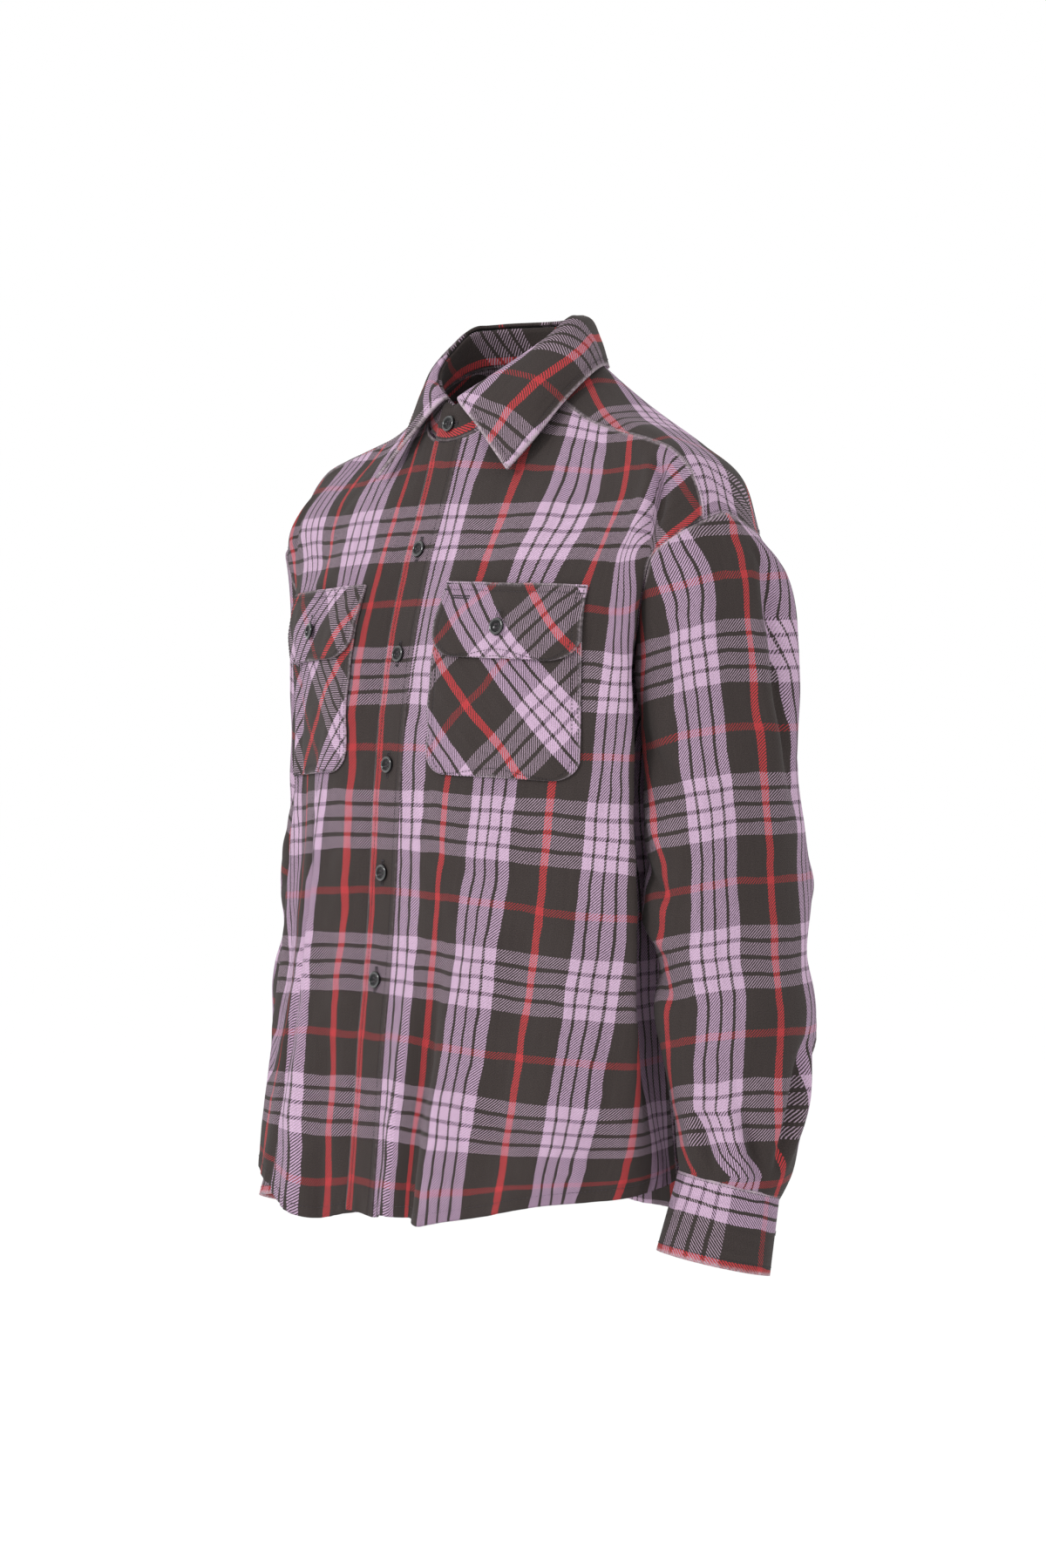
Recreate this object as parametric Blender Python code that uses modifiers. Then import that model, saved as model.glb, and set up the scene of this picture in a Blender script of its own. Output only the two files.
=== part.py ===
"""Flannel work shirt in its worn form, buttoned up, with long sleeves, two flap pockets and a collar.

Metres, +Z up. +X is the wearer's left and -Y the front. The origin is the middle of the neck
opening, where the wearer's neck holds the shirt up. Each cut piece is its own thin-walled solid.
"""

import math

import bmesh
import bpy
import numpy as np
from mathutils import Vector

# Cloth and seams
CLOTH = 0.002  # wall of one panel, with its nap and its hidden allowances
BAND = 0.003  # placket, collar and cuffs: two layers and an interlining
PATCH = 0.0016  # pocket and sleeve placket
FLAP = 0.0022  # pocket flap, two layers
SEAM = 0.0003  # gap between two pieces at a seam
ARM_SEAM = 0.0009  # the same at the armholes
SEAT = 0.0004  # gap under a piece that lies on another
PATCH_SEAT = 0.0010  # the same under pockets and flaps, which cross the panel's facets

# Front opening
PLACKET_HALF = 0.0165
PLACKET_PROUD = 0.0005
UNDERLAP = 0.0031  # how far the right front lies behind the left one at the opening
BUTTON_DROPS = (0.122, 0.201, 0.284, 0.365, 0.445)

# Neck
NECK_SIDE, NECK_FRONT, NECK_BACK = 0.068, 0.066, 0.061
NECK_MEAN, NECK_TILT, NECK_SIDE_RISE = -0.009, 0.031, 0.024
SHOULDER_SEAM_ANGLE = 70  # degrees round the neck from the front, where the yoke starts
STAND_TOP = {0: -0.0135, 31: 0.0040, 55: 0.0200, 75: 0.0345, 95: 0.0500, 115: 0.0530, 180: 0.0545}  # angle: height
LEAN_FRONT, LEAN_BACK = 0.0065, 0.0105  # how much narrower the stand is at its top
STAND_END = 14  # degrees past the middle of the front
STAND_RISE = 0.0008  # clear of the panels' top edges
LEAF_WALL, LEAF_UP, LEAF_OUT = 0.0026, 0.0040, 0.0041

# Buttons
BUTTON_RADIUS, BUTTON_THICK = 0.0065, 0.0028

# Cuffs
CUFF_TOP = {"x": 0.247, "y": 0.000, "z": -0.5845, "radius": 0.0368}
CUFF_END = {"x": 0.246, "y": -0.0145, "z": -0.641, "radius": 0.0412}
CUFF_TILT_BACK, CUFF_TILT_OUT = -0.0085, -0.004
CUFF_START, CUFF_LAP = 68, 24  # degrees from the outside over the back
SLIT_WIDE, SLIT_FROM = 34, 8  # degrees, and the sleeve's section where the slit starts

# Sections of a front, from the collar to the hem, as far as the side. The middle columns stand
# at x = 0.050, 0.115 and 0.180, which are the pocket's edges and its centre.
FRONT_X = {"inner": 0.050, "centre": 0.115, "outer": 0.180}
FRONT_COLUMNS = ("z", "droop", "middle", "inner", "centre", "outer", "fold_x", "fold_y", "tuck_x", "tuck_y", "spare")
FRONT = (
    (-0.100, 0.004, -0.0835, -0.0845, -0.0760, -0.0610, 0.2130, -0.0530, 0.2300, -0.0470, 0.000),
    (-0.128, 0.004, -0.0930, -0.0955, -0.0890, -0.0690, 0.2020, -0.0600, 0.2140, -0.0555, 0.001),
    (-0.152, 0.007, -0.0995, -0.1045, -0.0970, -0.0775, 0.2060, -0.0615, 0.2110, -0.0530, 0.002),
    (-0.178, 0.007, -0.1060, -0.1130, -0.1040, -0.0810, 0.2080, -0.0615, 0.2040, -0.0520, 0.003),
    (-0.203, 0.007, -0.1110, -0.1180, -0.1070, -0.0820, 0.2085, -0.0605, 0.1935, -0.0512, 0.005),
    (-0.232, 0.007, -0.1155, -0.1210, -0.1090, -0.0815, 0.2085, -0.0590, 0.1815, -0.0500, 0.007),
    (-0.262, 0.007, -0.1190, -0.1225, -0.1105, -0.0810, 0.2080, -0.0580, 0.1810, -0.0480, 0.009),
    (-0.290, 0.007, -0.1215, -0.1240, -0.1120, -0.0810, 0.2075, -0.0575, 0.1800, -0.0480, 0.010),
    (-0.335, 0.014, -0.1245, -0.1260, -0.1140, -0.0830, 0.2085, -0.0570, 0.1815, -0.0475, 0.010),
    (-0.3785, 0.016, -0.1268, -0.1285, -0.1170, -0.0860, 0.2100, -0.0570, 0.1840, -0.0470, 0.010),
    (-0.432, 0.015, -0.1310, -0.1340, -0.1240, -0.0920, 0.2130, -0.0575, 0.1880, -0.0450, 0.010),
    (-0.486, 0.013, -0.1370, -0.1415, -0.1330, -0.1000, 0.2150, -0.0580, 0.1950, -0.0420, 0.009),
    (-0.545, 0.008, -0.1420, -0.1505, -0.1435, -0.1090, 0.2165, -0.0610, 0.2040, -0.0370, 0.009),
)
FRONT_HEM = {"middle_z": -0.618, "inner_z": -0.626, "centre_z": -0.613, "outer_z": -0.599, "fold_z": -0.593,
             "tuck_z": -0.589, "middle": -0.1487, "inner": -0.1590, "centre": -0.1530, "outer": -0.1180,
             "fold_x": 0.2165, "fold_y": -0.0660, "tuck_x": 0.2100, "tuck_y": -0.0340, "spare": 0.009}
FRONT_CELLS_DOWN = (4, 2, 2, 1, 1, 1, 1, 1, 2, 2, 2, 2, 2, 3)
FRONT_CELLS_ACROSS = (1, 1, 2, 2, 2, 2, 2, 2)

# Seam of the armhole, front and back, and the side seam under it
ARMHOLE_FRONT = ((0.245, -0.024, -0.106), (0.241, -0.040, -0.114), (0.222, -0.052, -0.131), (0.2105, -0.0500, -0.150),
                 (0.195, -0.042, -0.174), (0.175, -0.026, -0.207), (0.158, 0.004, -0.235))
ARMHOLE_BACK = ((0.232, 0.040, -0.114), (0.222, 0.062, -0.140), (0.205, 0.073, -0.172), (0.181, 0.055, -0.212),
                (0.158, 0.004, -0.235))
SIDE_SEAM = ((0.158, 0.004, -0.235), (0.155, 0.006, -0.268), (0.154, 0.007, -0.298), (0.156, 0.007, -0.349),
             (0.159, 0.008, -0.394), (0.165, 0.008, -0.448), (0.172, 0.006, -0.500), (0.180, 0.004, -0.552),
             (0.187, 0.002, -0.588))

# Sections of half the back, under the yoke. Two columns stand at x = 0.055 and 0.115.
BACK_X = {"spine": 0.055, "blade": 0.115}
BACK_COLUMNS = ("z", "middle", "spine", "blade", "fold_x", "fold_y", "tuck_x", "tuck_y")
BACK = (
    (-0.132, 0.119, 0.120, 0.116, 0.174, 0.097, 0.206, 0.080),
    (-0.165, 0.122, 0.124, 0.121, 0.177, 0.103, 0.198, 0.089),
    (-0.203, 0.124, 0.126, 0.123, 0.178, 0.105, 0.188, 0.087),
    (-0.232, 0.125, 0.127, 0.123, 0.179, 0.104, 0.172, 0.074),
    (-0.262, 0.1245, 0.1265, 0.122, 0.180, 0.101, 0.165, 0.067),
    (-0.290, 0.1235, 0.1255, 0.121, 0.180, 0.099, 0.166, 0.062),
    (-0.335, 0.122, 0.124, 0.1195, 0.181, 0.097, 0.166, 0.061),
    (-0.3785, 0.121, 0.123, 0.1185, 0.183, 0.096, 0.170, 0.061),
    (-0.432, 0.1215, 0.1235, 0.119, 0.186, 0.096, 0.177, 0.060),
    (-0.486, 0.123, 0.125, 0.120, 0.188, 0.094, 0.186, 0.056),
    (-0.545, 0.1235, 0.125, 0.120, 0.189, 0.089, 0.193, 0.051),
)
BACK_HEM = (-0.630, 0.124, 0.125, 0.119, 0.189, 0.083, 0.198, 0.044)
BACK_CELLS_DOWN = (2, 2, 2, 2, 1, 1, 2, 2, 2, 2, 2, 3)

# Lines of the yoke from the neck seam out to the armhole or to the back seam, by their angle
# round the neck. The first is the front seam, the last the middle of the back.
YOKE_LINES = (
    (70, ((0.1212, -0.023, -0.0294), (0.157, -0.023, -0.0388), (0.183, -0.023, -0.0446), (0.2115, -0.023, -0.054),
          (0.232, -0.023, -0.0717), (0.2425, -0.0235, -0.0918), (0.245, -0.024, -0.106))),
    (90, ((0.120, -0.003, -0.020), (0.183, -0.003, -0.041), (0.225, -0.003, -0.064), (0.247, -0.002, -0.101))),
    (110, ((0.113, 0.036, -0.014), (0.170, 0.042, -0.046), (0.212, 0.041, -0.072), (0.232, 0.040, -0.114))),
    (135, ((0.080, 0.072, -0.018), (0.112, 0.088, -0.046), (0.145, 0.096, -0.072), (0.160, 0.097, -0.104))),
    (158, ((0.043, 0.084, -0.009), (0.060, 0.099, -0.036), (0.075, 0.108, -0.062), (0.083, 0.113, -0.092))),
    (180, ((0.000, 0.086, 0.004), (0.000, 0.098, -0.022), (0.000, 0.108, -0.050), (0.000, 0.114, -0.080))),
)
YOKE_CELLS_ROUND = (2, 2, 3, 3, 3)
YOKE_CELLS_OUT = 9

# Rings of a sleeve: centre, half widths across and front to back, and how much higher the outer
# and the back edge stand.
SLEEVE_COLUMNS = ("x", "y", "z", "half_x", "half_y", "out_up", "back_up")
SLEEVE = (
    (0.2130, 0.0140, -0.190, 0.0485, 0.0620, 0.056, 0.002),
    (0.2165, 0.0150, -0.224, 0.0495, 0.0610, 0.040, 0.000),
    (0.2180, 0.0155, -0.260, 0.0500, 0.0595, 0.020, 0.000),
    (0.2195, 0.0170, -0.300, 0.0515, 0.0600, 0.006, 0.000),
    (0.2220, 0.0195, -0.349, 0.0530, 0.0650, 0.000, 0.000),
    (0.2255, 0.0175, -0.3845, 0.0530, 0.0665, 0.000, 0.000),
    (0.2320, 0.0170, -0.4246, 0.0505, 0.0575, 0.000, 0.000),
    (0.2365, 0.0150, -0.457, 0.0525, 0.0635, 0.000, -0.001),
    (0.2410, 0.0120, -0.495, 0.0490, 0.0575, -0.001, -0.003),
    (0.2440, 0.0105, -0.524, 0.0465, 0.0525, -0.002, -0.005),
    (0.2465, 0.0080, -0.550, 0.0430, 0.0465, -0.003, -0.007),
    (0.2475, 0.0040, -0.570, 0.0405, 0.0425, -0.004, -0.008),
)
SLEEVE_CELLS_DOWN = (3, 2, 2, 2, 2, 2, 2, 2, 2, 2, 2, 1, 1)
SLEEVE_CLEAR = 0.0019  # how far the sleeve's top stands off the armhole, outwards

# Collar leaf, from its point at the front to the middle of the back: the angle round the stand
# where a line starts, x, y and z of its outer end, and how far its middle bows out.
LEAF_BACK = (
    (115, 0.0665, 0.0365, 0.0195, 0.002),
    (145, 0.0370, 0.0640, 0.0205, 0.002),
    (180, 0.0000, 0.0770, 0.0200, 0.003),
)
LEAF_LEFT = (
    (8, 0.0810, -0.0735, -0.0640, 0.004),
    (30, 0.0935, -0.0560, -0.0400, 0.006),
    (55, 0.0960, -0.0300, -0.0130, 0.008),
    (85, 0.0880, 0.0060, 0.0115, 0.005),
    *LEAF_BACK,
)
LEAF_RIGHT = (
    (8, 0.0805, -0.0735, -0.0635, 0.001),
    (30, 0.0750, -0.0545, -0.0395, 0.001),
    (55, 0.0800, -0.0300, -0.0050, 0.002),
    (85, 0.0810, 0.0060, 0.0150, 0.004),
    *LEAF_BACK,
)
LEAF_CELLS_OUT = (2, 3, 2)

# Pocket and flap, as rows and columns of the front panel's grid
POCKET_CORNER, FLAP_CORNER = 0.62, 0.75  # how much of the corner cell is rounded off


def rows_of(columns, table):
    """The table's rows as dictionaries."""
    return [dict(zip(columns, row)) for row in table]


def through(points, at, knots=None):
    """Points on the smooth curve through the given points, at the given distances along it."""
    points = np.asarray(points, float)
    if knots is None:
        steps = np.linalg.norm(np.diff(points, axis=0), axis=-1)
        knots = np.concatenate([[0.0], np.cumsum(steps)])
    knots = np.asarray(knots, float)
    slopes = np.gradient(points, knots, axis=0)
    at = np.clip(at, knots[0], knots[-1])
    span = np.clip(np.searchsorted(knots, at, side="right") - 1, 0, len(knots) - 2)
    length = knots[span + 1] - knots[span]
    f = (at - knots[span]) / length
    shape = (-1,) + (1,) * (points.ndim - 1)
    f, length = f.reshape(shape), length.reshape(shape)
    start, end = points[span], points[span + 1]
    return (
        (2 * f**3 - 3 * f**2 + 1) * start
        + (f**3 - 2 * f**2 + f) * length * slopes[span]
        + (3 * f**2 - 2 * f**3) * end
        + (f**3 - f**2) * length * slopes[span + 1]
    )


def in_spans(points, cells, knots=None):
    """The smooth curve through the points, with the given number of cells in each span."""
    points = np.asarray(points, float)
    if knots is None:
        steps = np.linalg.norm(np.diff(points, axis=0), axis=-1)
        knots = np.concatenate([[0.0], np.cumsum(steps)])
    at = [knots[0]]
    for start, end, count in zip(knots[:-1], knots[1:], cells):
        at.extend(np.linspace(start, end, count + 1)[1:])
    return through(points, np.array(at), knots)


def evenly(points, cells):
    """The smooth curve through the points, cut into equal cells."""
    fine = in_spans(points, [12] * (len(points) - 1))
    steps = np.linalg.norm(np.diff(fine, axis=0), axis=-1)
    length = np.concatenate([[0.0], np.cumsum(steps)])
    at = np.linspace(0, length[-1], cells + 1)
    return np.stack([np.interp(at, length, fine[:, axis]) for axis in range(3)], axis=1)


def neck_point(angle):
    """A point of the neck seam, by its angle from the front towards the wearer's left."""
    turn = math.radians(angle)
    depth = NECK_FRONT if math.cos(turn) > 0 else NECK_BACK
    height = NECK_MEAN - NECK_TILT * math.cos(turn) + NECK_SIDE_RISE * math.sin(turn) ** 2
    return np.array([NECK_SIDE * math.sin(turn), -depth * math.cos(turn), height])


def stand_point(angle, share):
    """A point on the stand's outer face, from the neck seam (0) to its top edge (1)."""
    base = neck_point(angle)
    around = abs((angle + 180) % 360 - 180)
    top = through(list(STAND_TOP.values()), np.array([float(around)]), list(STAND_TOP))[0]
    lean = LEAN_FRONT + (LEAN_BACK - LEAN_FRONT) * (1 - math.cos(math.radians(angle))) / 2
    inward = -lean * share / math.hypot(base[0], base[1])
    return base + [base[0] * inward, base[1] * inward, (top - base[2]) * share]


def mirrored(grid):
    """The same grid on the wearer's other side, with its columns turned round to face out."""
    return (grid * [-1, 1, 1])[:, ::-1]


def grid_normals(grid, closed=False):
    """Outward normals of a grid whose rows run down and whose columns run to the wearer's left."""
    if closed:
        across = np.roll(grid, -1, axis=1) - np.roll(grid, 1, axis=1)
    else:
        across = np.gradient(grid, axis=1)
    down = np.gradient(grid, axis=0)
    normal = np.cross(down, across)
    return normal / np.linalg.norm(normal, axis=-1, keepdims=True)


# ---------------------------------------------------------------- the cloth's surface


def yoke_half():
    """The wearer's left half of the yoke: rows from the neck out, columns from front to back."""
    lines = []
    for angle, points in YOKE_LINES:
        lines.append(evenly([neck_point(angle), *points], YOKE_CELLS_OUT))
    lines = np.array(lines)
    angles = [float(angle) for angle, _ in YOKE_LINES]
    grid = in_spans(lines, YOKE_CELLS_ROUND, np.array(angles))
    at = [angles[0]]
    for start, end, count in zip(angles[:-1], angles[1:], YOKE_CELLS_ROUND):
        at.extend(np.linspace(start, end, count + 1)[1:])
    for column, angle in enumerate(at):
        grid[column, 0] = neck_point(angle)
    return grid.transpose(1, 0, 2)


def front_sections(right):
    """The front's control rows under the yoke, each from the opening's edge to the side."""
    sections = []
    sides = [*ARMHOLE_FRONT[1:], *SIDE_SEAM[1:]]
    rows = rows_of(FRONT_COLUMNS, FRONT)
    for row, side in zip(rows, sides):
        z, droop = row["z"], row["droop"]
        pull = row["spare"] if right else 0.0
        back = UNDERLAP if right else 0.0
        sections.append([
            (-PLACKET_HALF, row["middle"] + back, z),
            (0.0, row["middle"] + back, z),
            (PLACKET_HALF, row["middle"] + back, z),
            (FRONT_X["inner"], row["inner"], z - droop * 0.06),
            (FRONT_X["centre"] - pull * 0.2, row["centre"] + pull * 0.4, z - droop * 0.35),
            (FRONT_X["outer"] - pull * 0.6, row["outer"] + pull * 0.8, z - droop * 0.8),
            (row["fold_x"] - pull * 0.7, row["fold_y"] + pull * 0.7, z - droop),
            (row["tuck_x"] - pull * 0.2, row["tuck_y"] + pull * 0.2, (z - droop + side[2]) / 2),
            side,
        ])
    hem = FRONT_HEM
    pull = hem["spare"] if right else 0.0
    back = UNDERLAP if right else 0.0
    sections.append([
        (-PLACKET_HALF, hem["middle"] + back, hem["middle_z"] + 0.001),
        (0.0, hem["middle"] + back, hem["middle_z"]),
        (PLACKET_HALF, hem["middle"] + back, hem["middle_z"] - 0.002),
        (FRONT_X["inner"], hem["inner"], hem["inner_z"]),
        (FRONT_X["centre"] - pull * 0.2, hem["centre"] + pull * 0.4, hem["centre_z"]),
        (FRONT_X["outer"] - pull * 0.6, hem["outer"] + pull * 0.8, hem["outer_z"]),
        (hem["fold_x"] - pull * 0.7, hem["fold_y"] + pull * 0.7, hem["fold_z"]),
        (hem["tuck_x"] - pull * 0.2, hem["tuck_y"] + pull * 0.2, hem["tuck_z"]),
        SIDE_SEAM[-1],
    ])
    return np.array(sections)


def front_grid(yoke, right=False):
    """A front, on the wearer's left: rows from the neck and yoke seam to the hem."""
    sections = front_sections(right)
    rows = [in_spans(section, FRONT_CELLS_ACROSS) for section in sections]
    # The top edge: round the neck from the opening's edge, then out along the yoke's front seam.
    edge = math.degrees(math.asin(PLACKET_HALF / NECK_SIDE))
    start = [-edge, 0.0, edge]
    rest = len(rows[0]) - len(start) - YOKE_CELLS_OUT
    angles = start + list(np.linspace(edge, SHOULDER_SEAM_ANGLE, rest + 1)[1:])
    top = [neck_point(angle) for angle in angles]
    if right:
        for place, angle in enumerate(angles):
            share = max(0.0, 1 - max(0.0, angle - edge) / edge)
            top[place] = top[place] + [0, UNDERLAP * share, 0]
    top = np.array([*top, *yoke[1:, 0]])
    rows = np.array([top, *rows])
    knots = np.concatenate([[0.0], np.cumsum(np.linalg.norm(np.diff(rows[:, 3], axis=0), axis=-1))])
    grid = in_spans(rows, FRONT_CELLS_DOWN, knots)
    under = len(ARMHOLE_FRONT) - 1
    arm_cells, seam_cells = FRONT_CELLS_DOWN[:under], FRONT_CELLS_DOWN[under:]
    side = [*in_spans(ARMHOLE_FRONT, arm_cells), *in_spans(SIDE_SEAM, seam_cells)[1:]]
    grid[:, -1] = np.array(side)
    return grid, sum(arm_cells)


def back_grid(yoke):
    """The wearer's left half of the back, from the middle to the side."""
    first = sum(YOKE_CELLS_ROUND[:2])
    seam = yoke[-1, first:][::-1]
    sides = [*ARMHOLE_BACK[1:], *SIDE_SEAM[1:]]
    sections = [
        [
            (0.0, row["middle"], row["z"]),
            (BACK_X["spine"], row["spine"], row["z"]),
            (BACK_X["blade"], row["blade"], row["z"] * 0.99 + side[2] * 0.01),
            (row["fold_x"], row["fold_y"], row["z"] * 0.8 + side[2] * 0.2),
            (row["tuck_x"], row["tuck_y"], row["z"] * 0.35 + side[2] * 0.65),
            side,
        ]
        for row, side in zip(rows_of(BACK_COLUMNS, [*BACK, BACK_HEM]), sides)
    ]
    cells = (2, 2, 2, 1, 2)
    rows = np.array([seam, *[in_spans(section, cells) for section in sections]])
    knots = np.concatenate([[0.0], np.cumsum(np.linalg.norm(np.diff(rows[:, 0], axis=0), axis=-1))])
    grid = in_spans(rows, BACK_CELLS_DOWN, knots)
    under = len(ARMHOLE_BACK) - 1
    arm_cells, seam_cells = BACK_CELLS_DOWN[:under], BACK_CELLS_DOWN[under:]
    side = [*in_spans(ARMHOLE_BACK, arm_cells), *in_spans(SIDE_SEAM, seam_cells)[1:]]
    grid[:, -1] = np.array(side)
    return grid, sum(arm_cells)


def sleeve_grid(armhole):
    """The wearer's left sleeve, from the armhole's points down to the cuff; its columns close."""
    ends = np.vstack([armhole, armhole[:1]])
    steps = np.linalg.norm(np.diff(ends, axis=0), axis=-1)
    length = np.concatenate([[0.0], np.cumsum(steps)])
    low = int(np.argmin(armhole[:, 2]))
    turn = np.where(
        np.arange(len(armhole)) <= low,
        np.pi * length[:-1] / length[low],
        np.pi + np.pi * (length[:-1] - length[low]) / (length[-1] - length[low]),
    )
    # Column 0 is the top of the armhole; columns run from there over the front to the underarm.
    out, back = np.cos(turn), -np.sin(turn)
    rings = [armhole + [SLEEVE_CLEAR, 0, 0]]
    for row in rows_of(SLEEVE_COLUMNS, SLEEVE):
        rings.append(np.stack([
            row["x"] + row["half_x"] * out,
            row["y"] + row["half_y"] * back,
            row["z"] + row["out_up"] * out + row["back_up"] * back,
        ], axis=1))
    cuff = CUFF_TOP
    radius = cuff["radius"] - 0.0002
    rings.append(np.stack([
        cuff["x"] + radius * out,
        cuff["y"] + radius * back,
        cuff["z"] + 0.0005 + CUFF_TILT_OUT * out + CUFF_TILT_BACK * back,
    ], axis=1))
    rings = np.array(rings)
    centres = rings.mean(axis=1)
    knots = np.concatenate([[0.0], np.cumsum(np.linalg.norm(np.diff(centres, axis=0), axis=-1))])
    return in_spans(rings, SLEEVE_CELLS_DOWN, knots), turn


def cuff_point(turn, share):
    """A point of the cuff's outer face, by its angle from the outside over the front."""
    top, end = CUFF_TOP, CUFF_END
    centre = np.array([top[axis] + (end[axis] - top[axis]) * share for axis in "xyz"])
    radius = top["radius"] + (end["radius"] - top["radius"]) * share
    out, back = math.cos(turn), -math.sin(turn)
    return centre + [radius * out, radius * back, CUFF_TILT_OUT * out + CUFF_TILT_BACK * back]


# ---------------------------------------------------------------- solids

for old in list(bpy.data.objects):
    bpy.data.objects.remove(old, do_unlink=True)
shirt = bpy.data.collections.new("flannel_shirt")
bpy.context.scene.collection.children.link(shirt)


def principled(name, colour, roughness):
    material = bpy.data.materials.new(name)
    material.use_nodes = True
    shader = material.node_tree.nodes["Principled BSDF"]
    shader.inputs["Base Color"].default_value = (*colour, 1.0)
    shader.inputs["Roughness"].default_value = roughness
    shader.inputs["Metallic"].default_value = 0.0
    return material


FLANNEL = principled("plaid flannel", (0.17, 0.12, 0.15), 0.9)
BUTTON = principled("black button", (0.012, 0.011, 0.012), 0.18)


def add(name, mesh_builder, material):
    mesh = bpy.data.meshes.new(name)
    mesh_builder.to_mesh(mesh)
    mesh_builder.free()
    mesh.materials.append(material)
    mesh.shade_smooth()
    mesh.set_sharp_from_angle(angle=math.radians(50))
    obj = bpy.data.objects.new(name, mesh)
    shirt.objects.link(obj)
    return obj


def wall(name, grid, normals, thickness, closed=False, proud=0.0):
    """A solid wall behind a grid of outer points; its rows run down, its columns to the left."""
    rows, columns = grid.shape[:2]
    outer_points = grid + normals * proud
    inner_points = grid + normals * (proud - thickness)
    builder = bmesh.new()
    outer = [[builder.verts.new(point) for point in row] for row in outer_points]
    inner = [[builder.verts.new(point) for point in row] for row in inner_points]
    spans = columns if closed else columns - 1
    for i in range(rows - 1):
        for j in range(spans):
            k = (j + 1) % columns
            builder.faces.new((outer[i][j], outer[i + 1][j], outer[i + 1][k], outer[i][k]))
            builder.faces.new((inner[i][k], inner[i + 1][k], inner[i + 1][j], inner[i][j]))
    for j in range(spans):
        k = (j + 1) % columns
        builder.faces.new((outer[0][j], outer[0][k], inner[0][k], inner[0][j]))
        builder.faces.new((outer[-1][k], outer[-1][j], inner[-1][j], inner[-1][k]))
    if not closed:
        for i in range(rows - 1):
            builder.faces.new((outer[i + 1][0], outer[i][0], inner[i][0], inner[i + 1][0]))
            builder.faces.new((outer[i][-1], outer[i + 1][-1], inner[i + 1][-1], inner[i][-1]))
    bmesh.ops.recalc_face_normals(builder, faces=builder.faces)
    return add(name, builder, FLANNEL)


def pulled_in(grid, top=0.0, bottom=0.0, left=0.0, right=0.0):
    """The grid with its edges drawn back along the surface, to leave a gap at the seams."""
    grid = grid.copy()
    for gap, edge, inside in ((top, grid[0], grid[1]), (bottom, grid[-1], grid[-2])):
        step = inside - edge
        edge += step * gap / np.maximum(np.linalg.norm(step, axis=-1, keepdims=True), 1e-6)
    for gap, edge, inside in ((left, grid[:, 0], grid[:, 1]), (right, grid[:, -1], grid[:, -2])):
        step = inside - edge
        edge += step * gap / np.maximum(np.linalg.norm(step, axis=-1, keepdims=True), 1e-6)
    return grid


def shared_normals(pieces):
    """One normal at each point that pieces share, so that their walls meet in a mitre."""
    total = {}
    for grid, normals in pieces:
        for point, normal in zip(grid.reshape(-1, 3), normals.reshape(-1, 3)):
            key = tuple(np.round(point, 6))
            total[key] = total.get(key, 0) + normal
    result = []
    for grid, normals in pieces:
        merged = np.array([total[tuple(np.round(p, 6))] for p in grid.reshape(-1, 3)])
        merged = merged / np.linalg.norm(merged, axis=-1, keepdims=True)
        result.append(merged.reshape(normals.shape))
    return result


yoke_left = yoke_half()
left, arm_rows = front_grid(yoke_left)
right, _ = front_grid(yoke_left, right=True)
back_half, back_arm_rows = back_grid(yoke_left)
yoke_arm = yoke_left[-1, : sum(YOKE_CELLS_ROUND[:2]) + 1]
# Round the armhole from its top: over the front to the underarm, and up the back.
crown = YOKE_CELLS_ROUND[0]
armhole = np.vstack([
    yoke_arm[: crown + 1][::-1],
    left[1 : arm_rows + 1, -1],
    back_half[: back_arm_rows, -1][::-1],
    yoke_arm[crown + 1 : -1][::-1],
])
sleeve, sleeve_turn = sleeve_grid(armhole)

yoke = np.concatenate([yoke_left, (yoke_left * [-1, 1, 1])[:, ::-1][:, 1:]], axis=1)
back = np.concatenate([back_half[:, ::-1], (back_half * [-1, 1, 1])[:, 1:]], axis=1)
right = mirrored(right)
sleeve_left = sleeve[:, ::-1]
sleeve_right = sleeve * [-1, 1, 1]
left_n, right_n, back_n, yoke_n = shared_normals(
    [(grid, grid_normals(grid)) for grid in (left, right, back, yoke)]
)
sleeve_left_n = grid_normals(sleeve_left, closed=True)
sleeve_right_n = grid_normals(sleeve_right, closed=True)

# Fronts, back and yoke
band = 2  # the placket's last column
wall("front_left", pulled_in(left[:, band:], top=SEAM, left=SEAM, right=ARM_SEAM), left_n[:, band:], CLOTH)
wall("front_right", pulled_in(right, top=SEAM, left=ARM_SEAM), right_n, CLOTH)
wall("back", pulled_in(back, top=SEAM, left=SEAM, right=SEAM), back_n, CLOTH)
wall("yoke", pulled_in(yoke, top=SEAM, bottom=ARM_SEAM, left=SEAM, right=SEAM), yoke_n, CLOTH)
wall("front_placket", pulled_in(left[:, : band + 1], top=SEAM), left_n[:, : band + 1], BAND, proud=PLACKET_PROUD)

# Sleeves
wall("sleeve_left", sleeve_left, sleeve_left_n, CLOTH, closed=True)
wall("sleeve_right", sleeve_right, sleeve_right_n, CLOTH, closed=True)


def facets(grid, normals, rows, columns):
    """Points and normals inside a grid's cells, at fractional rows and columns."""
    rows, columns = np.broadcast_arrays(rows, columns)
    i = np.clip(np.floor(rows).astype(int), 0, grid.shape[0] - 2)
    j = np.clip(np.floor(columns).astype(int), 0, grid.shape[1] - 2)
    f, g = (rows - i)[..., None], (columns - j)[..., None]

    def blend(values):
        above = values[i, j] * (1 - g) + values[i, j + 1] * g
        below = values[i + 1, j] * (1 - g) + values[i + 1, j + 1] * g
        return above * (1 - f) + below * f

    facing = blend(normals)
    return blend(grid), facing / np.linalg.norm(facing, axis=-1, keepdims=True)


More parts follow.
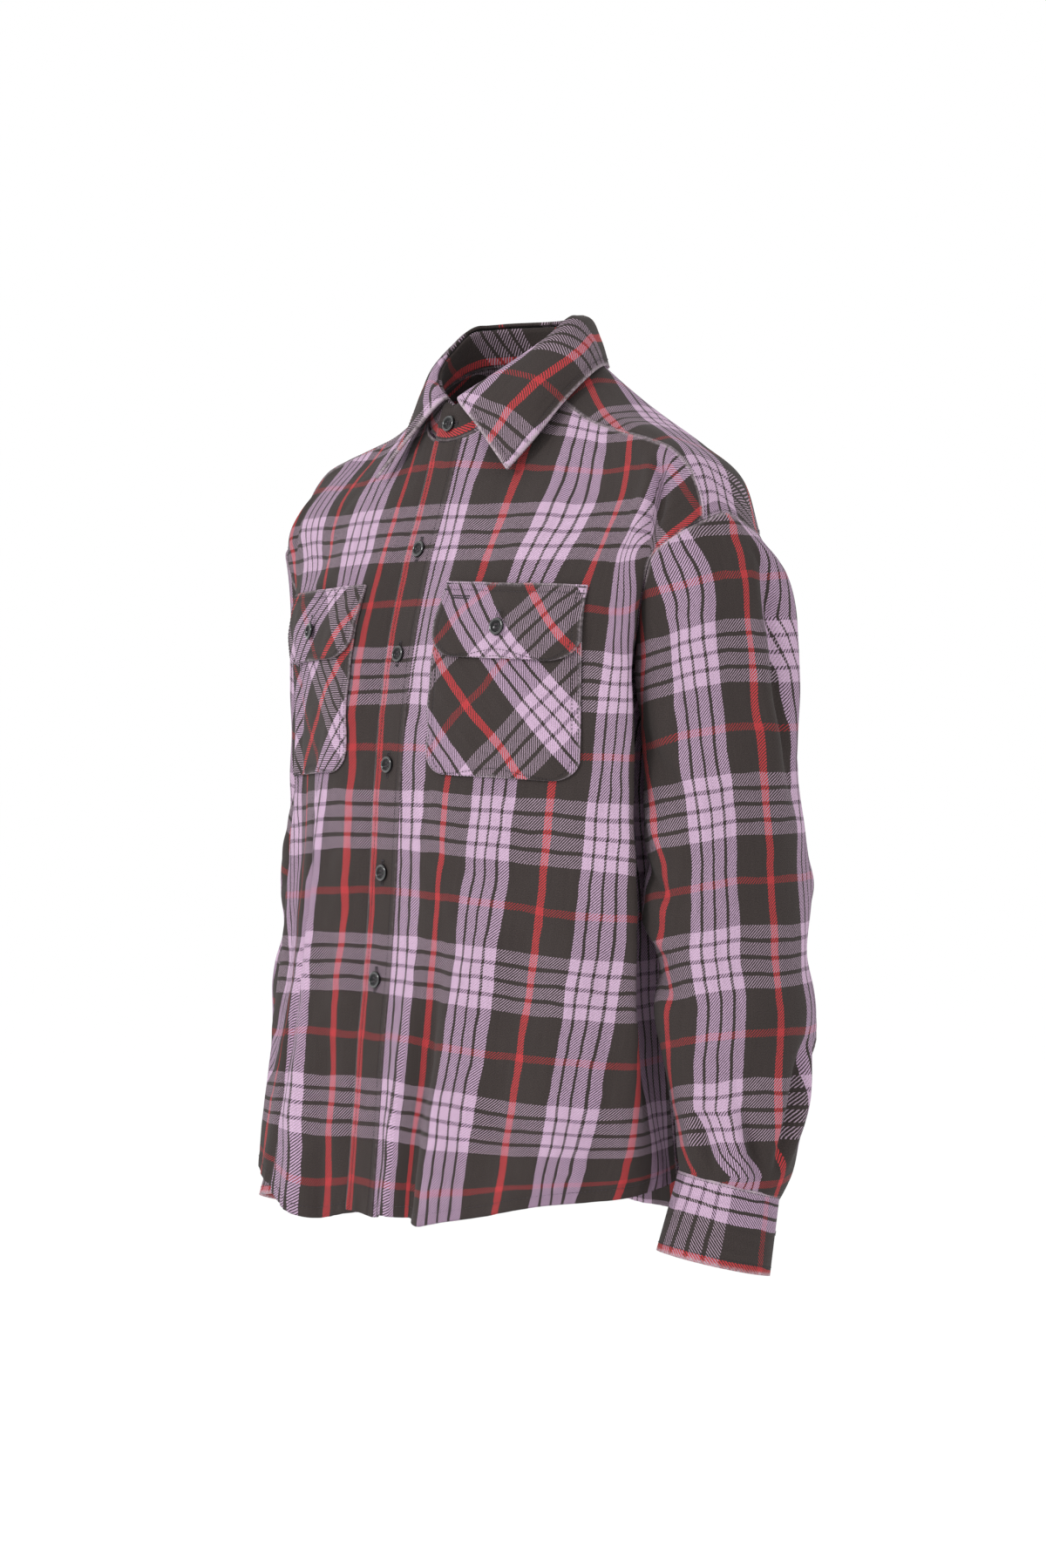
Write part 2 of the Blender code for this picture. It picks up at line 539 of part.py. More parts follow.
# Pockets and flaps, in rows and columns of the front's grid
row_of = np.concatenate([[0], np.cumsum(FRONT_CELLS_DOWN)])
column_of = np.concatenate([[0], np.cumsum(FRONT_CELLS_ACROSS)])
POCKET_TOP, FLAP_MIDDLE, FLAP_END, POCKET_END = row_of[3], row_of[4], row_of[5], row_of[8]
POCKET_HALF = (column_of[5] - column_of[3]) / 2
POCKET_MIDDLE = {"left": column_of[4], "right": column_of[-1] - column_of[4]}


def corner_rows(first, last, corner, steps):
    """Whole rows down to the corner, then the closer rows of its round."""
    rows = [float(row) for row in np.arange(first, last) if row < last - corner]
    return rows + [last - corner * (1 - math.sin(math.pi / 2 * step / steps)) for step in range(steps + 1)]


def rounded_patch(name, surface, middle, places, corner, thickness, proud):
    """A patch on a front whose two lower corners are rounded; places lists its rows."""
    inset = []
    for place in places:
        depth = max(0.0, place - (places[-1] - corner))
        inset.append(corner * (1 - math.sqrt(max(0.0, 1 - (depth / corner) ** 2))))
    across = np.linspace(-1, 1, 9)
    columns = middle + across[None, :] * (POCKET_HALF - np.array(inset)[:, None])
    points, facing = facets(*surface, np.array(places)[:, None], columns)
    return wall(name, points, facing, thickness, proud=proud)


pocket_rows = corner_rows(POCKET_TOP, POCKET_END, POCKET_CORNER, 4)
flap_rows = [POCKET_TOP - 0.35, POCKET_TOP - 0.12, *corner_rows(POCKET_TOP, FLAP_END, FLAP_CORNER, 4)]
over_pocket = PATCH_SEAT + PATCH + PATCH_SEAT + FLAP
flap_proud = np.full((len(flap_rows), 1, 1), over_pocket)
flap_proud[0] = PATCH_SEAT + FLAP
for side, surface in (("left", (left, left_n)), ("right", (right, right_n))):
    middle = POCKET_MIDDLE[side]
    rounded_patch(f"pocket_{side}", surface, middle, pocket_rows, POCKET_CORNER, PATCH, PATCH_SEAT + PATCH)
    rounded_patch(f"flap_{side}", surface, middle, flap_rows, FLAP_CORNER, FLAP, flap_proud)

# Collar stand: a band round the neck whose left end laps over its right one
half_turn = [*np.linspace(STAND_END, SHOULDER_SEAM_ANGLE, 4), 80, 90, 100, 110, 118, 127, 135, 146, 158, 169, 180]
round_neck = [*half_turn, *[360 - angle for angle in half_turn[-2::-1]]]
stand_angles = [-STAND_END, -STAND_END * 0.8, -STAND_END * 0.45, 0, *round_neck, 360, 360 + STAND_END]
stand = []
for angle in stand_angles:
    under = np.clip((angle - 300) / 40, 0, 1) * (BAND + SEAT)
    ends = np.clip((angle + STAND_END) / (STAND_END * 0.55), 0, 1)
    highest = 0.45 + 0.55 * math.sqrt(1 - (1 - ends) ** 2)
    column = np.array([stand_point(angle, share * highest) for share in (1, 0.5, 0)])
    outward = column[:, :2] / np.linalg.norm(column[:, :2], axis=1, keepdims=True)
    column[:, :2] -= outward * under
    column[:, 2] += STAND_RISE
    stand.append(column)
stand = np.array(stand).transpose(1, 0, 2)
wall("collar_stand", stand, grid_normals(stand), BAND)

# Collar leaf: over the top of the stand and down to its points
def leaf_half(table):
    """Half a leaf: rows from the fold out, columns from the point at the front to the back."""
    table = np.array(table)
    angles = np.array([table[0, 0], *half_turn])
    lines = []
    for angle, (x, y, z, bow) in zip(angles, through(table[:, 1:], angles, table[:, 0])):
        top = stand_point(angle, 1) + [0, 0, STAND_RISE]
        outward = np.array([top[0], top[1], 0]) / math.hypot(top[0], top[1])
        edge = np.array([x, y, z])
        over = top + outward * LEAF_OUT + [0, 0, LEAF_UP * 0.55]
        half = over * 0.55 + edge * 0.45
        away = np.array([half[0], half[1], 0]) / math.hypot(half[0], half[1])
        lines.append([top - outward * 0.0006 + [0, 0, LEAF_UP], over, half + away * bow + [0, 0, bow * 0.4], edge])
    return in_spans(np.array(lines).transpose(1, 0, 2), LEAF_CELLS_OUT, np.array([0.0, 0.005, 0.022, 0.045]))


leaf = np.concatenate([leaf_half(LEAF_LEFT), mirrored(leaf_half(LEAF_RIGHT))[:, 1:]], axis=1)
wall("collar", leaf, grid_normals(leaf), LEAF_WALL)

# Cuffs: a band round the wrist, its overlap behind the arm
start = math.radians(CUFF_START)
behind = np.linspace(start, start + math.radians(360 + CUFF_LAP), 26)
cuff = []
for turn in behind:
    under = np.clip((math.degrees(turn - start) - 330) / 30, 0, 1) * (BAND + SEAT)
    column = np.array([cuff_point(-turn, share) for share in (0, 0.33, 0.67, 1)])
    middle = np.array([cuff_point(-turn - math.pi, share) for share in (0, 0.33, 0.67, 1)]) + column
    outward = column - middle / 2
    column -= outward / np.linalg.norm(outward, axis=1, keepdims=True) * under
    cuff.append(column)
cuff = np.array(cuff).transpose(1, 0, 2)
cuff_n = grid_normals(cuff)
wall("cuff_left", cuff, cuff_n, BAND)
wall("cuff_right", mirrored(cuff), mirrored(cuff_n), BAND)

# Sleeve plackets: a strip on the slit above each cuff, in columns of the sleeve's grid
turn_back = (2 * np.pi - sleeve_turn[::-1]) % (2 * np.pi)
places = np.interp(
    np.radians([CUFF_START, CUFF_START + SLIT_WIDE]), turn_back[:-1], np.arange(len(turn_back) - 1)
)
inside = [column for column in range(len(turn_back)) if places[0] < column < places[1]]
columns = np.array([places[0], *inside, places[1]])
rows = np.arange(sum(SLEEVE_CELLS_DOWN[:SLIT_FROM]), sleeve.shape[0], 1.0)
rows[-1] -= 0.05
strip, strip_n = facets(sleeve_left, sleeve_left_n, rows[:, None], columns[None, :])
wall("sleeve_placket_left", strip, strip_n, PATCH, proud=SEAT + PATCH)
wall("sleeve_placket_right", mirrored(strip), mirrored(strip_n), PATCH, proud=SEAT + PATCH)

# Buttons: a turned disc with a raised rim and a dished middle
BUTTON_PROFILE = (
    (0.0, 0.62), (0.50, 0.62), (0.62, 1.0), (0.86, 1.0), (1.0, 0.66), (0.94, 0.18), (0.76, 0.0), (0.0, 0.0),
)


def button(name, point, facing):
    """A button whose back rests at the point."""
    mesh = bpy.data.meshes.new(name)
    profile = [(BUTTON_RADIUS * out, 0.0, BUTTON_THICK * up) for out, up in BUTTON_PROFILE]
    mesh.from_pydata(profile, [(i, i + 1) for i in range(len(profile) - 1)], [])
    mesh.materials.append(BUTTON)
    obj = bpy.data.objects.new(name, mesh)
    shirt.objects.link(obj)
    turned = obj.modifiers.new("turned", "SCREW")
    turned.steps = turned.render_steps = 18
    turned.use_merge_vertices = True
    turned.merge_threshold = 0.00001
    turned.use_smooth_shade = True
    obj.rotation_mode = "QUATERNION"
    obj.rotation_quaternion = Vector(facing).to_track_quat("Z", "Y")
    obj.location = point
    return obj


def button_on(name, surface, row, column, proud):
    point, facing = facets(*surface, np.array([float(row)]), np.array([float(column)]))
    button(name, point[0] + facing[0] * (proud + SEAM), facing[0])


middle_rows = left[:, 1, 2]
for number, drop in enumerate(BUTTON_DROPS, start=1):
    row = np.interp(drop, -middle_rows, np.arange(len(middle_rows)))
    button_on(f"button_front_{number}", (left, left_n), row, 1, PLACKET_PROUD)
for side, surface in (("left", (left, left_n)), ("right", (right, right_n))):
    button_on(f"button_pocket_{side}", surface, FLAP_MIDDLE + 0.1, POCKET_MIDDLE[side], over_pocket)
button_on("button_collar", (stand, grid_normals(stand)), 1, 3, 0.0)
lap_column = CUFF_LAP / 2 / (360 + CUFF_LAP) * (len(behind) - 1)
button_on("button_cuff_left", (cuff, cuff_n), 1.5, lap_column, 0.0002)
button_on("button_cuff_right", (mirrored(cuff), mirrored(cuff_n)), 1.5, len(behind) - 1 - lap_column, 0.0002)
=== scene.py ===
"""Looks of a plaid flannel work shirt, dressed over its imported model. Metres, +Z up, front towards -Y."""

import math
from functools import partial

import bmesh
import bpy
import numpy as np
from mathutils import Matrix, Vector


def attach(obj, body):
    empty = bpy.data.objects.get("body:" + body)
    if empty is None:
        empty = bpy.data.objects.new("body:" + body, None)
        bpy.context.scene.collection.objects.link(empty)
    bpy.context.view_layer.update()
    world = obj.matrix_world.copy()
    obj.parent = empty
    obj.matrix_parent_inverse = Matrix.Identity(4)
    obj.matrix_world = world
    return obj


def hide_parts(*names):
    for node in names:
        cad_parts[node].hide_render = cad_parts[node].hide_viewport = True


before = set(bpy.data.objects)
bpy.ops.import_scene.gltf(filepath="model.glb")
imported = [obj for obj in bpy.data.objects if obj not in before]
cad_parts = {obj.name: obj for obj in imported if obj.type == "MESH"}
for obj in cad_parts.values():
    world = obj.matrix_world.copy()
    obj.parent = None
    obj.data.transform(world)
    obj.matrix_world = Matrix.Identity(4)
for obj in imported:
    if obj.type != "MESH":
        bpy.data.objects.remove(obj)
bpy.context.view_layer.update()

# ---------------------------------------------------------------- yoke
# The yoke is one piece of flannel over the shoulders, cut on the cross grain, so its warp runs
# from arm to arm. It is felled onto both fronts, the back and the collar stand.

FINE = 8  # cells of a panel here for each cell of its solid
CLOTH = 0.0016

NECK_SIDE, NECK_FRONT, NECK_BACK = 0.068, 0.066, 0.061
NECK_MEAN, NECK_TILT, NECK_SIDE_RISE = -0.009, 0.031, 0.024
SHOULDER_SEAM_ANGLE = 70

# Lines of the yoke in millimetres from the neck seam out, by their angle round the neck from the front.
YOKE_LINES = (
    (70, ((121.2, -23, -29.4), (157, -23, -38.8), (183, -23, -44.6), (211.5, -23, -54), (232, -23, -71.7),
          (242.5, -23.5, -91.8), (245, -24, -106))),
    (90, ((120, -3, -20), (183, -3, -41), (225, -3, -64), (247, -2, -101))),
    (110, ((113, 36, -14), (170, 42, -46), (212, 41, -72), (232, 40, -114))),
    (135, ((80, 72, -18), (112, 88, -46), (145, 96, -72), (160, 97, -104))),
    (158, ((43, 84, -9), (60, 99, -36), (75, 108, -62), (83, 113, -92))),
    (180, ((0, 86, 4), (0, 98, -22), (0, 108, -50), (0, 114, -80))),
)
YOKE_CELLS_ROUND = tuple(cells * FINE for cells in (2, 2, 3, 3, 3))
YOKE_CELLS_OUT = 9 * FINE


def run_length(points):
    """Distance along a line of points, from its first one."""
    steps = np.linalg.norm(np.diff(points, axis=0), axis=-1)
    return np.concatenate([np.zeros((1,) + steps.shape[1:]), np.cumsum(steps, axis=0)])


def run_across(grid):
    """Distance along each row of a grid, from its first column."""
    return run_length(grid.transpose(1, 0, 2)).T


def through(points, at, knots=None):
    """Points on the smooth curve through the given points, at the given distances along it."""
    points = np.asarray(points, float)
    knots = run_length(points) if knots is None else np.asarray(knots, float)
    slopes = np.gradient(points, knots, axis=0)
    at = np.clip(at, knots[0], knots[-1])
    span = np.clip(np.searchsorted(knots, at, side="right") - 1, 0, len(knots) - 2)
    length = knots[span + 1] - knots[span]
    f = (at - knots[span]) / length
    shape = (-1,) + (1,) * (points.ndim - 1)
    f, length = f.reshape(shape), length.reshape(shape)
    return (
        (2 * f**3 - 3 * f**2 + 1) * points[span]
        + (f**3 - 2 * f**2 + f) * length * slopes[span]
        + (3 * f**2 - 2 * f**3) * points[span + 1]
        + (f**3 - f**2) * length * slopes[span + 1]
    )


def in_spans(points, cells, knots=None):
    """The smooth curve through the points, with the given number of cells in each span."""
    points = np.asarray(points, float)
    knots = run_length(points) if knots is None else np.asarray(knots, float)
    at = [knots[0]]
    for start, end, count in zip(knots[:-1], knots[1:], cells):
        at.extend(np.linspace(start, end, count + 1)[1:])
    return through(points, np.array(at), knots)


def evenly(points, cells):
    """The smooth curve through the points, cut into equal cells."""
    fine = in_spans(points, [12 * FINE] * (len(points) - 1))
    length = run_length(fine)
    at = np.linspace(0, length[-1], cells + 1)
    return np.stack([np.interp(at, length, fine[:, axis]) for axis in range(3)], axis=1)


def neck_point(angle):
    """A point of the neck seam, by its angle from the front towards the wearer's left."""
    turn = math.radians(angle)
    depth = NECK_FRONT if math.cos(turn) > 0 else NECK_BACK
    height = NECK_MEAN - NECK_TILT * math.cos(turn) + NECK_SIDE_RISE * math.sin(turn) ** 2
    return np.array([NECK_SIDE * math.sin(turn), -depth * math.cos(turn), height])


def unit(vectors):
    """The vectors at a length of one."""
    return vectors / np.maximum(np.linalg.norm(vectors, axis=-1, keepdims=True), 1e-9)


def grid_normals(grid, closed=False):
    """Outward normals of a grid whose rows run down and whose columns run to the wearer's left."""
    if closed:
        across = np.roll(grid, -1, axis=1) - np.roll(grid, 1, axis=1)
    else:
        across = np.gradient(grid, axis=1)
    return unit(np.cross(np.gradient(grid, axis=0), across))


def lifted(grid, height, closed=False):
    """The grid raised along its normals."""
    return grid + grid_normals(grid, closed) * height[..., None]


def facets(grid, normals, rows, columns):
    """Points and normals inside a grid's cells, at fractional rows and columns."""
    rows, columns = np.broadcast_arrays(rows, columns)
    i = np.clip(np.floor(rows).astype(int), 0, grid.shape[0] - 2)
    j = np.clip(np.floor(columns).astype(int), 0, grid.shape[1] - 2)
    f, g = (rows - i)[..., None], (columns - j)[..., None]

    def blend(values):
        above = values[i, j] * (1 - g) + values[i, j + 1] * g
        below = values[i + 1, j] * (1 - g) + values[i + 1, j + 1] * g
        return above * (1 - f) + below * f

    return blend(grid), unit(blend(normals))


def mirrored(grid):
    """The same grid on the wearer's other side, with its columns turned round to face out."""
    return (grid * [-1, 1, 1])[:, ::-1]


def yoke_half():
    """The wearer's left half of the yoke: rows from the neck out, columns from front to back."""
    lines = np.array([
        evenly([neck_point(angle), *np.array(points) / 1000], YOKE_CELLS_OUT) for angle, points in YOKE_LINES
    ])
    angles = np.array([float(angle) for angle, _ in YOKE_LINES])
    grid = in_spans(lines, YOKE_CELLS_ROUND, angles)
    for column, angle in enumerate(in_spans(angles[:, None], YOKE_CELLS_ROUND, angles)[:, 0]):
        grid[column, 0] = neck_point(angle)
    return grid.transpose(1, 0, 2)


FAR_FROM_SEAM = 0.2


def edge_ways(grid):
    """For each edge of a grid: every point's distance from it, and its distance along it."""
    down, across = run_length(grid), run_across(grid)
    return {"top": (down, across), "bottom": (down[-1] - down, across),
            "left": (across, down), "right": (across[:, -1:] - across, down)}


def from_edges(grid, *edges):
    """Distance of each grid point from the nearest of the named edges, along rows and columns."""
    ways = edge_ways(grid)
    near = np.full(grid.shape[:2], FAR_FROM_SEAM)
    for edge in edges:
        near = np.minimum(near, ways[edge][0])
    return near


CREASE_REACH, CREASE_STEPS, LEAN_SOFT = 3.2, 25, 0.3
CREASE_END, CREASE_FADE = 0.04, 0.7  # how a crease runs out at its ends


def creased(grid, places, creases, calm, closed=False):
    """The grid with soft ridges and troughs. Each crease is a row of numbers: the two places in
    millimetres where it starts, bends and ends, its half width, its height (under 0 for a trough),
    and its lean to one side."""
    lift = np.zeros(grid.shape[:2])
    along = np.linspace(0, 1, CREASE_STEPS)[:, None]
    for *route, wide, high, lean in creases:
        start, bend, end = np.reshape(route, (3, 2)) / 1000
        wide, high = wide / 1000, high / 1000
        route = (1 - along) ** 2 * start + 2 * along * (1 - along) * bend + along**2 * end
        reach = CREASE_REACH * wide
        inside = np.all((places > route.min(0) - reach) & (places < route.max(0) + reach), axis=-1)
        if not inside.any():
            continue
        away = places[inside][:, None] - route[None]
        nearest = np.linalg.norm(away, axis=-1).argmin(axis=1)
        heading = np.gradient(route, axis=0)[nearest]
        step = np.linalg.norm(heading, axis=1)
        heading = heading / step[:, None]
        offset = away[np.arange(len(nearest)), nearest]
        ahead = (heading * offset).sum(axis=1)
        over = np.clip(ahead, -step / 2, step / 2)
        aside = heading[:, 0] * offset[:, 1] - heading[:, 1] * offset[:, 0]
        width = wide * (1 + lean * np.tanh(aside / (LEAN_SOFT * wide)))
        share = along[nearest, 0] + over / step * (along[1, 0] - along[0, 0])
        fade = np.clip(np.sin(np.pi * (CREASE_END + (1 - 2 * CREASE_END) * share)), 0, 1) ** CREASE_FADE
        lift[inside] += high * fade * np.exp(-((np.hypot(aside, ahead - over) / width) ** 2))
    return lifted(grid, lift * calm, closed)


def uneven(places, height, size, seed):
    """A low swell without a repeat."""
    x, y = places[..., 0] / size, places[..., 1] / size
    long = np.sin(x * 5.1 + 1.7 * np.sin(y * 2.3 + seed) + seed)
    cross = np.cos(y * 4.3 + 1.3 * np.sin(x * 3.1 - seed))
    return height * (long * cross + 0.5 * np.sin(x * 9.7 + y * 6.1 + 2.1 * seed))


def cloth_mesh(name, grid, weave, seam, closed=False):
    """A sheet over a grid of outer points. weave holds each point's place in the flat cloth,
    across and down, and seam its distance from the nearest sewn edge."""
    if closed:
        grid = np.concatenate([grid, grid[:, :1]], axis=1)
        seam = np.concatenate([seam, seam[:, :1]], axis=1)
    rows, columns = grid.shape[:2]
    sheet = bmesh.new()
    sheet.loops.layers.uv.new("cloth")
    bmesh.ops.create_grid(sheet, x_segments=columns - 1, y_segments=rows - 1, size=0.5)
    mesh = bpy.data.meshes.new(name)
    sheet.to_mesh(mesh)
    flat = np.empty(len(mesh.vertices) * 3)
    mesh.vertices.foreach_get("co", flat)
    flat = flat.reshape(-1, 3)
    column = np.rint((flat[:, 0] + 0.5) * (columns - 1)).astype(int)
    row = rows - 1 - np.rint((flat[:, 1] + 0.5) * (rows - 1)).astype(int)
    mesh.vertices.foreach_set("co", grid[row, column].ravel())
    corner = np.empty(len(mesh.loops), int)
    mesh.loops.foreach_get("vertex_index", corner)
    mesh.uv_layers["cloth"].uv.foreach_set("vector", weave[row, column][corner].ravel())
    mesh.attributes.new("seam", "FLOAT", "POINT").data.foreach_set("value", seam[row, column].ravel())
    if closed:
        sheet.clear()
        sheet.from_mesh(mesh)
        bmesh.ops.remove_doubles(sheet, verts=sheet.verts, dist=0.00001)
        sheet.to_mesh(mesh)
    sheet.free()
    return mesh


def new_object(name, mesh, *materials):
    """An object at the origin, with its mesh shaded smooth."""
    mesh.shade_smooth()
    for material in materials:
        mesh.materials.append(material)
    obj = bpy.data.objects.new(name, mesh)
    bpy.context.scene.collection.objects.link(obj)
    return obj


def from_bmesh(name, shape, *materials):
    """The object of a finished bmesh."""
    mesh = bpy.data.meshes.new(name)
    shape.to_mesh(mesh)
    shape.free()
    return new_object(name, mesh, *materials)


def cloth_piece(name, grid, weave, seam, material, thick=CLOTH, closed=False):
    """A panel of cloth with its thickness inwards."""
    obj = new_object(name, cloth_mesh(name, grid, weave, seam, closed), material)
    wall = obj.modifiers.new("wall", "SOLIDIFY")
    wall.thickness = thick
    wall.offset = -1
    wall.use_even_offset = False
    return obj


def dress(piece, node, **cut):
    """Hangs a piece of flannel on the frame in place of its solid. The size of its cut is not used."""
    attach(piece, "root")
    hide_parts(node)


def fill(tree, node, **values):
    """Gives a node its settings and input values, and links it to the sockets among them."""
    for key, value in values.items():
        if hasattr(node, key):
            setattr(node, key, value)
        elif isinstance(value, bpy.types.NodeSocket):
            tree.links.new(value, node.inputs[key.replace("_", " ")])
        else:
            node.inputs[key.replace("_", " ")].default_value = value
    return node


def put(tree, kind, **values):
    """A new shader node of the given kind."""
    return fill(tree, tree.nodes.new(f"ShaderNode{kind}"), **values)


def math_node(tree, operation, first, second=None):
    """One sum on two values or sockets."""
    node = put(tree, "Math", operation=operation)
    for socket, value in zip(node.inputs, (first, second)):
        if isinstance(value, bpy.types.NodeSocket):
            tree.links.new(value, socket)
        elif value is not None:
            socket.default_value = value
    return node.outputs[0]


def sums(tree):
    """Adding, subtracting, multiplying and dividing nodes of a tree."""
    return [partial(math_node, tree, kind) for kind in ("ADD", "SUBTRACT", "MULTIPLY", "DIVIDE")]


def noise(tree, place, output="Fac", **values):
    """A noise texture over the given place."""
    return put(tree, "TexNoise", Vector=place, **values).outputs[output]


def ranged(tree, value, start, end, low=0.0, high=1.0, kind="LINEAR"):
    """A value carried from one range into another."""
    return put(tree, "MapRange", interpolation_type=kind, Value=value, From_Min=start, From_Max=end,
               To_Min=low, To_Max=high).outputs[0]


def new_group(name, inputs, outputs):
    """An empty shader group with the named sockets, and its two end nodes."""
    tree = bpy.data.node_groups.new(name, "ShaderNodeTree")
    for way, sockets in (("INPUT", inputs), ("OUTPUT", outputs)):
        for socket, kind in sockets.items():
            tree.interface.new_socket(socket, in_out=way, socket_type=f"NodeSocket{kind}")
    return tree, tree.nodes.new("NodeGroupInput").outputs, tree.nodes.new("NodeGroupOutput")


def new_material(name, **finish):
    """A material with the given constant values on its shader, its tree and the shader."""
    material = bpy.data.materials.new(name)
    material.use_nodes = True
    tree = material.node_tree
    return material, tree, fill(tree, tree.nodes["Principled BSDF"], **finish)


# Yarn colours, and the order of the stripes in one repeat: how far each stripe reaches from the
# middle of the red one, in millimetres. The weft shows less, because its yarn is covered more.
DARK = (0.044, 0.035, 0.033)
WARP_YARNS = {"red": (0.50, 0.050, 0.056), "dark": DARK, "lilac": (0.59, 0.405, 0.572)}
WEFT_YARNS = {"red": (0.32, 0.038, 0.042), "dark": DARK, "lilac": (0.445, 0.328, 0.412)}
WARP_REPEAT, WEFT_REPEAT = 98.0, 110.0
WARP_STRIPES = ((3.15, "red"), (29.65, "dark"), (37.75, "lilac"), (39.85, "dark"), (47.95, "lilac"),
                (50.05, "dark"), (58.15, "lilac"), (60.25, "dark"), (68.35, "lilac"), (94.85, "dark"),
                (98.0, "red"))
WEFT_STRIPES = ((2.65, "red"), (32.5, "dark"), (41.4, "lilac"), (44.5, "dark"), (53.4, "lilac"),
                (56.5, "dark"), (65.4, "lilac"), (68.5, "dark"), (77.4, "lilac"), (107.35, "dark"),
                (110.0, "red"))
TWILL_PITCH, TWILL_WANDER = 0.0023, 0.4
WARP_SHARE, RIB_SOFT = 0.61, 0.035
CROSS_SHADE = 0.54
THREAD_SWAY, EDGE_SHAKE = 0.0058, 0.0009


def stripes(tree, place, repeat, order, colours):
    """Colour of one yarn by its place across the repeat."""
    turn = math_node(tree, "FRACT", math_node(tree, "DIVIDE", place, repeat / 1000))
    ramp = put(tree, "ValToRGB", Fac=turn)
    ramp.color_ramp.interpolation = "CONSTANT"
    points = ramp.color_ramp.elements
    points.remove(points[1])
    start = 0.0
    for number, (reach, colour) in enumerate(order):
        point = points[0] if number == 0 else points.new(start / repeat)
        point.position = start / repeat
        point.color = (*colours[colour], 1)
        start = reach
    return ramp.outputs[0]


def plaid_group():
    """Flat place in the cloth to the colour and relief of the plaid twill."""
    tree, start, end = new_group("plaid twill", {"Cloth": "Vector"}, {"Color": "Color", "Height": "Float"})
    add, less, times, over = sums(tree)
    cloth = start["Cloth"]
    place = put(tree, "SeparateXYZ", Vector=cloth).outputs
    # The threads don't run quite straight in washed cloth, and a stripe's edge is ragged.
    shake = times(less(noise(tree, cloth, Scale=900.0, Detail=1.0), 0.5), EDGE_SHAKE)
    sway = put(tree, "SeparateXYZ", Vector=noise(tree, cloth, "Color", Scale=24.0, Detail=2.0)).outputs
    warp, weft = (
        stripes(tree, add(add(place[axis], times(less(sway[axis], 0.5), THREAD_SWAY)), shake), *yarns)
        for axis, *yarns in (
            ("X", WARP_REPEAT, WARP_STRIPES, WARP_YARNS),
            ("Y", WEFT_REPEAT, WEFT_STRIPES, WEFT_YARNS),
        )
    )
    # The twill's ribs rise to the right, each as wide as the warp shows.
    slub = noise(tree, cloth, Scale=420.0, Detail=2.0, Roughness=0.7)
    rib = add(over(add(place["X"], place["Y"]), TWILL_PITCH), times(less(slub, 0.5), TWILL_WANDER))
    off = math_node(tree, "ABSOLUTE", less(math_node(tree, "FRACT", rib), 0.5))
    on_warp = ranged(tree, off, WARP_SHARE / 2 + RIB_SOFT, WARP_SHARE / 2 - RIB_SOFT, kind="SMOOTHSTEP")
    woven = put(tree, "Mix", data_type="RGBA", Factor=on_warp, A=weft, B=warp).outputs["Result"]
    # Yarns differ a little. A pale yarn between dark ones gets less light back from its neighbours.
    yarn = noise(tree, cloth, Scale=1500.0, Detail=2.0, Roughness=0.8)
    tone = ranged(tree, yarn, 0.25, 0.75, 0.5, 1.5)
    shade = less(1.0, times(math_node(tree, "ABSOLUTE", less(warp, weft)), CROSS_SHADE))
    toned = put(tree, "VectorMath", operation="SCALE", Vector=woven, Scale=times(tone, shade)).outputs[0]
    fill(tree, end, Color=toned, Height=add(times(on_warp, 0.7), yarn))
    return tree


RUBBED_COLOUR = (0.46, 0.38, 0.42, 1)
RUB_FROM, RUB_FULL = 0.0034, 0.0004  # how far from its sewn edge the cloth is rubbed
DIP_HALF = 0.0011
WASH_PATCHES, WASH_STREAKS, WASH_LEAST = 0.22, 0.30, 0.74
SPECK_GAIN, SPECK_POWER = 1.7, 2.5


def wear_group():
    """Fades a cloth colour in soft patches, and rubs it pale along its sewn edges."""
    tree, start, end = new_group(
        "washed wear", {"Color": "Color", "Cloth": "Vector", "Seam": "Float", "Rub": "Float", "Row": "Float"},
        {"Color": "Color", "Height": "Float"},
    )
    add, less, times, over = sums(tree)
    cloth, seam = start["Cloth"], start["Seam"]
    patches = noise(tree, cloth, Scale=26.0, Detail=4.0, Roughness=0.6)
    drawn = put(tree, "Mapping", Vector=cloth, Scale=(260, 22, 1)).outputs[0]
    streaks = noise(tree, drawn, Scale=1.0, Detail=3.0, Roughness=0.65)
    wash = add(add(times(patches, WASH_PATCHES), times(streaks, WASH_STREAKS)), WASH_LEAST)
    toned = put(tree, "VectorMath", operation="SCALE", Vector=start["Color"], Scale=wash).outputs[0]
    near = ranged(tree, seam, RUB_FROM, RUB_FULL, kind="SMOOTHSTEP")
    speck = noise(tree, cloth, Scale=340.0, Detail=3.0, Roughness=0.7)
    rubbed = times(times(near, start["Rub"]), math_node(tree, "POWER", times(speck, SPECK_GAIN), SPECK_POWER))
    mixed = put(tree, "Mix", data_type="RGBA", Factor=rubbed, A=toned, B=RUBBED_COLOUR).outputs["Result"]
    # The cloth swells at its sewn edge and dips along the row of stitches.
    off = over(less(seam, start["Row"]), DIP_HALF)
    dip = math_node(tree, "EXPONENT", times(times(off, off), -1.0))
    fill(tree, end, Color=mixed, Height=less(1.0, dip))
    return tree


PLAID, WEAR = plaid_group(), wear_group()


